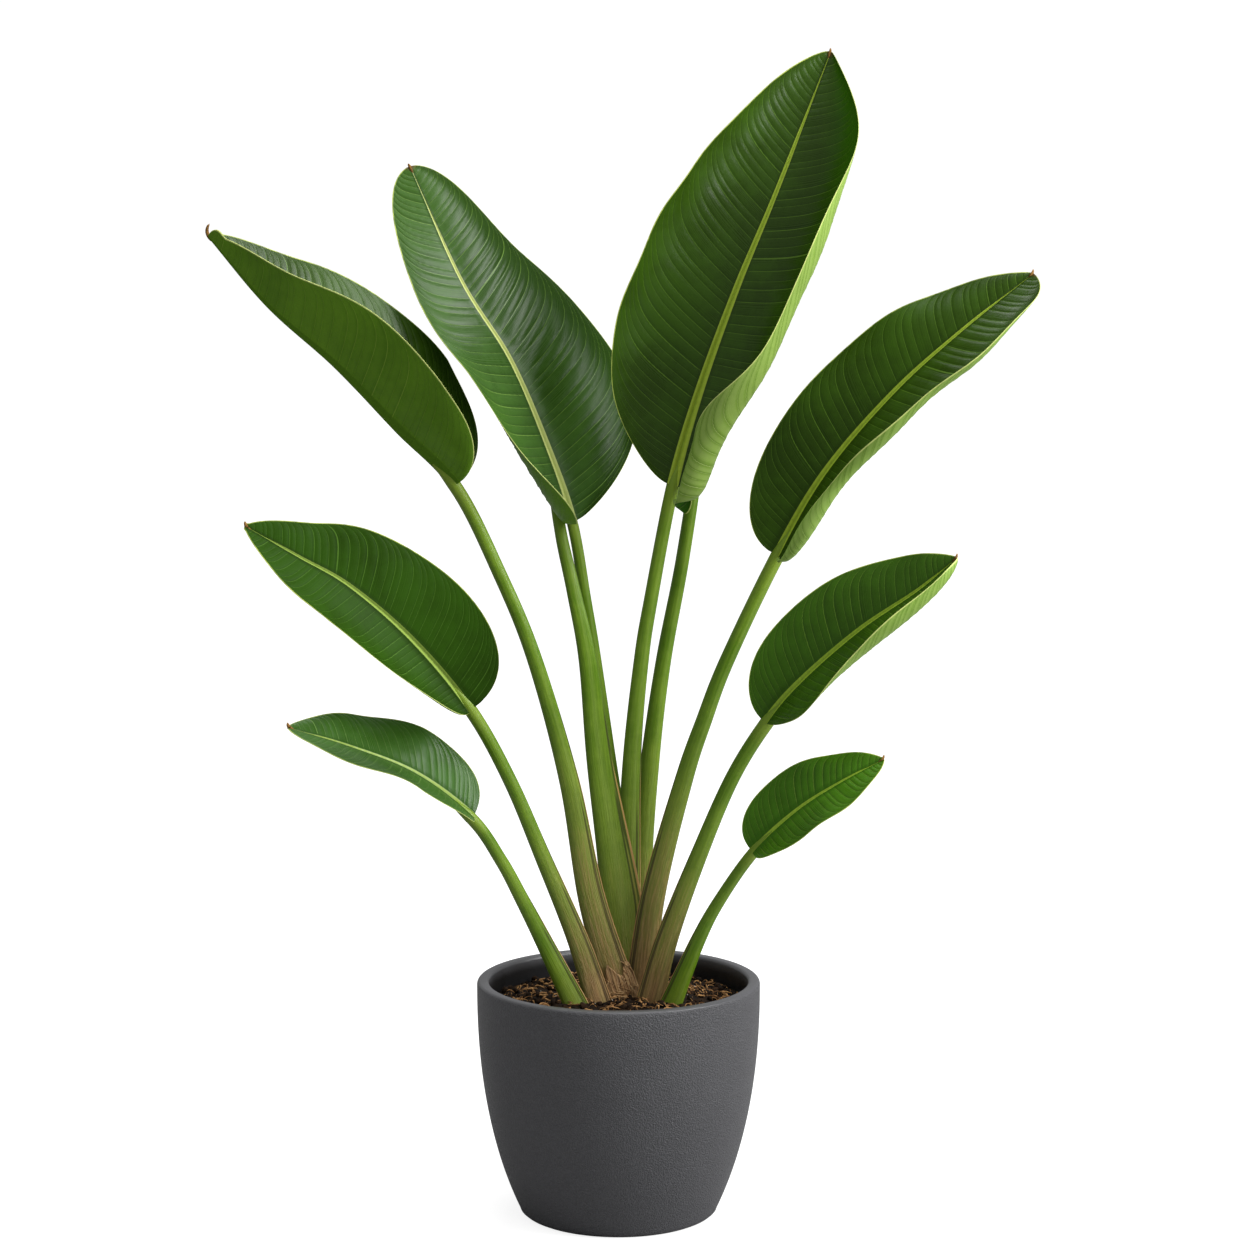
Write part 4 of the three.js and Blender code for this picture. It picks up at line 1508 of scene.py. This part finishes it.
LEAVES = (
    LeafForm(
        "left_high",
        ((4, -2, 227), (-28, -4, 335), (-52, -8, 464), (-87, -20, 593), (-122, -28, 682)), 19, 7, 1,
        ((-168, -35, 775), (-225, -47, 834), (-287, -57, 899), (-354, -66, 959), (-413, -73, 1029)),
        ((0.6, -0.15, 0.75), (0.7, 0.1, 0.7), (0.6, 0, 0.8)), 15,
        Half((92, 86, 66), (40, 52, 50), (45, 10, 0), (0.1, 0.1, 0.3), (4, 2, 0.25)),
        Half((98, 114, 88), (40, 55, 50), (20, 0, 0), (0.05, 0.1, 0.3), (2, 2.5, 0.6)),
        dry=0.8, hook=(0.7, -0.2, 0.8), hook_length=13.0, rows=230),
    LeafForm(
        "left_tall",
        ((17, 43, 216), (5, 43, 348), (-11, 38, 479), (-25, 36, 587), (-35, 36, 651)), 18, 6, -1,
        ((-49, 36, 733), (-74, 34, 809), (-113, 32, 902), (-164, 36, 985), (-218, 53, 1104)),
        ((0.25, -1, 0.1), (0.25, -1, 0.2), (0.15, -1, 0.3)), 8,
        Half((102, 122, 30, 130), (40, 50, 5), (150, -40, 0), (-0.2, 0.1, 0.5), (1.5, 2.5, 0.1)),
        Half((47, 221, 83, 122, 154), (-8, -20, -6), (-10, -50, -50), (0, 0.1, 0.4), (1.5, 2.5, 0.6)),
        tone=Tone.SILVER, dry=0.5, hook=(-0.5, 0, 0.8), swell=0.45, rows=240),
    LeafForm(
        "left_back",
        ((4, 22, 221), (-8, 20, 352), (-25, 16, 482), (-35, 14, 589), (-48, 17, 660), (-61, 30, 721)),
        18, 6, 1,
        ((-68, 52, 776), (-67, 87, 846), (-74, 140, 910), (-90, 205, 960)),
        ((0, -0.9, 0.5), (0, -0.8, 0.6), (0, -0.5, 0.8)), 4,
        Half((32, 32, 32), (15, 12, 12), (10, -15, -15), (0, 0.1, 0.3), (1.5, 2.5, 0.1)),
        Half((38, 40, 40), (0, -6, 0), (0, -12, -12), (0, 0.1, 0.3), (2, 2.5, 0.35)),
        tone=Tone.YOUNG, pitch=9.0, dry=0.5, rows=120, flare=24.0),
    LeafForm(
        "right_tall",
        ((8, 30, 218), (10, 31, 349), (14, 30, 479), (24, 27, 586), (34, 22, 651)), 18, 7, 1,
        ((57, 18, 772), (84, 20, 868), (123, 28, 976), (164, 42, 1075), (222, 62, 1223)),
        ((-0.1, -1, 0.1), (-0.05, -1, 0.25), (0, -1, 0.3)), 4,
        Half((61, 165, 60, 174, 113), (10, 12, 10), (20, 60, 45), (0.12, 0.15, 0.4), (1.5, 5, 0.1)),
        Half((199, 85, 129, 139, 89, 233, 182, 116), (5, 35, 8), (375, 473, 238, -119, 78, 300, 50, 1, 117),
             (-0.5, 0, 0.4), (3, 3.5, 0.6), base=46.0),
        tone=Tone.TALL, dry=0.6, rows=260),
    LeafForm(
        "right_back",
        ((25, 56, 215), (23, 56, 346), (34, 56, 476), (48, 58, 583), (68, 62, 690)), 18, 7, -1,
        ((84, 77, 801), (86, 110, 870), (84, 165, 940), (78, 230, 1000)),
        ((0, -0.9, 0.5), (0, -0.8, 0.6), (0, -0.5, 0.8)), 4,
        Half((50, 50, 50), (15, 12, 12), (10, -15, -15), (0, 0.1, 0.3), (1.5, 2.5, 0.1)),
        Half((38, 40, 40), (15, 12, 15), (30, 10, 0), (0, 0.1, 0.3), (2, 2.5, 0.35)),
        tone=Tone.YOUNG, pitch=9.0, dry=0.7, rows=130),
    LeafForm(
        "right_high",
        ((23, 10, 224), (36, 8, 333), (69, 6, 462), (90, 4, 526), (114, 2, 590)), 17, 7.5, -1,
        ((166, 0, 700), (215, -10, 787), (283, -20, 869), (351, -24, 932), (426, -20, 992)),
        ((-0.3, -0.9, 0.3), (-0.4, -0.85, 0.45), (-0.2, -0.8, 0.6)), 3,
        Half((75, 64, 76, 84, 58), (15, 15, 15), (20, -20, -20), (0.02, 0.1, 0.4), (2.5, 3.5, 0.1)),
        Half((96, 49, 61, 113, 132), (30, 20, 15), (304, 245, 63, 45, 154, 5), (-0.4, 0.1, 0.4),
             (2.5, 3.5, 0.3), late=4.0),
        tone=Tone.HIGH, dry=1.0, rows=220),
    LeafForm(
        "left_middle",
        ((-22, -14, 230), (-43, -15, 295), (-78, -22, 382), (-113, -32, 468)), 14, 7, 1,
        ((-153, -45, 544), (-209, -72, 618), (-270, -95, 676), (-321, -108, 708), (-374, -118, 740)),
        ((-0.1, -0.8, 0.5), (-0.1, -0.85, 0.5), (0, -0.85, 0.6)), 5,
        Half((54, 70, 44), (15, 10, 10), (110, 20, 0), (0, 0.1, 0.3), (1, 2.5, 0.1)),
        Half((90, 60, 48), (10, 5, 10), (10, -15, -15), (0.08, 0.1, 0.3), (1.5, 2.5, 0.9)),
        tone=Tone.LOWER, pitch=10.0, dry=0.85, rows=170),
    LeafForm(
        "left_low",
        ((-47, -26, 232), (-79, -30, 298), (-100, -38, 342), (-122, -46, 386)), 12.5, 6.5, 1,
        ((-152, -60, 433), (-207, -85, 482), (-270, -110, 514), (-333, -125, 537)),
        ((-0.1, -0.45, 0.9), (0, -0.42, 0.9), (0.1, -0.45, 0.9)), 4,
        Half((52, 58, 54), (20, 15, 15), (10, -10, -10), (0, 0.1, 0.3), (1.5, 2.5, 0.1)),
        Half((61, 56, 48), (22, 20, 15), (10, -10, -10), (0.1, 0.1, 0.3), (2, 2.5, 0.35)),
        tone=Tone.FRONT, pitch=9.0, dry=0.3, rows=150),
    LeafForm(
        "right_middle",
        ((33, -13, 227), (50, -14, 292), (82, -18, 380), (118, -28, 468)), 15, 7.5, -1,
        ((154, -40, 530), (189, -56, 575), (247, -74, 630), (304, -88, 672), (343, -95, 706)),
        ((-0.3, -0.85, 0.35), (-0.4, -0.8, 0.5), (-0.3, -0.8, 0.6)), 4,
        Half((51, 80, 44), (15, 12, 12), (20, -20, -20), (0.06, 0.1, 0.4), (1.5, 2.5, 0.1)),
        Half((52, 78, 76), (40, 20, 15), (-10, 20, 220, 150), (0.3, 0.1, 0.4), (1.5, 2.5, 0.35), late=3.0),
        tone=Tone.MIDDLE, pitch=10.0, dry=0.95, rows=170),
    LeafForm(
        "right_low",
        ((56, -24, 230), (83, -28, 296), (105, -34, 340)), 11.5, 6, -1,
        ((141, -50, 396), (184, -70, 442), (227, -85, 474), (271, -95, 500)),
        ((-0.3, -0.7, 0.6), (-0.3, -0.7, 0.6), (-0.2, -0.7, 0.7)), 4,
        Half((47, 44, 36), (15, 12, 12), (10, -15, -15), (0, 0.1, 0.3), (1.5, 2.5, 0.1)),
        Half((42, 48, 50), (15, 12, 15), (30, 10, 0), (0, 0.1, 0.3), (1.5, 2.5, 0.1)),
        tone=Tone.YOUNG, pitch=8.5, dry=0.25, rows=140),
)


def main() -> None:
    """Build the studio, the pot, the soil and the leaves."""
    logging.basicConfig(level=logging.INFO, format="%(name)s: %(message)s")
    studio = Studio()
    studio.build_camera()
    studio.build_floor()
    studio.build_lights()
    effects = Effects()
    pot = Pot()
    # The rim finish's depth paints shade on the inner wall.
    pot.build(PotFinish("wall", 1.0).material(effects),
              PotFinish("rim", 0.15, rough=0.33, depth=0.85).material(effects))
    soil = Soil(pot)
    soil.build_bed(SoilFinish("bed").material(effects))
    soil.build_crumbs(SoilFinish("crumbs", "090502", "3a240e", True).material(effects),
                      SoilFinish("specks", "b9b5a8", "efece2").material(effects))
    soil.build_fibres(SoilFinish("fibres", "4f3016", "d2a068", True).material(effects))
    # One underside skin in copies painted for the light each gets: painted shade under the two left leaves,
    # painted light on the window-lit roll of right_tall, and the plain copy, between the two, for the rest.
    shaded = UndersideFinish("deep").material(effects)
    lit_rolled = UndersideFinish("lit_rolled", "769838", "8fb04c", "aec572", "74962f", panel_light_and_shade=0.3).material(effects)
    plain = UndersideFinish("plain", "6b8f2e", "86a84a", "a9c46c", "6b8c2c", panel_light_and_shade=0.3).material(effects)
    undersides = {"left_high": shaded, "left_tall": shaded, "right_tall": lit_rolled}
    tips = SoilFinish("tips", "6b4a22", "a57c42").material(effects)
    stem = StalkFinish("green").material(effects)
    skins = {tone: tone.value.material(effects) for tone in Tone}
    leaves = [Leaf(form) for form in LEAVES]
    for leaf in leaves:
        leaf.build_stalk(stem)
        leaf.build_blade([skins[leaf.form.tone], undersides.get(leaf.form.name, plain), tips])
    husk = Husk(leaves[0])
    husk.build(HuskFinish("torn").material(effects))
    husk.build_threads(SoilFinish("threads", "86603a", "dcb886", True).material(effects))


if __name__ == "__main__":
    main()
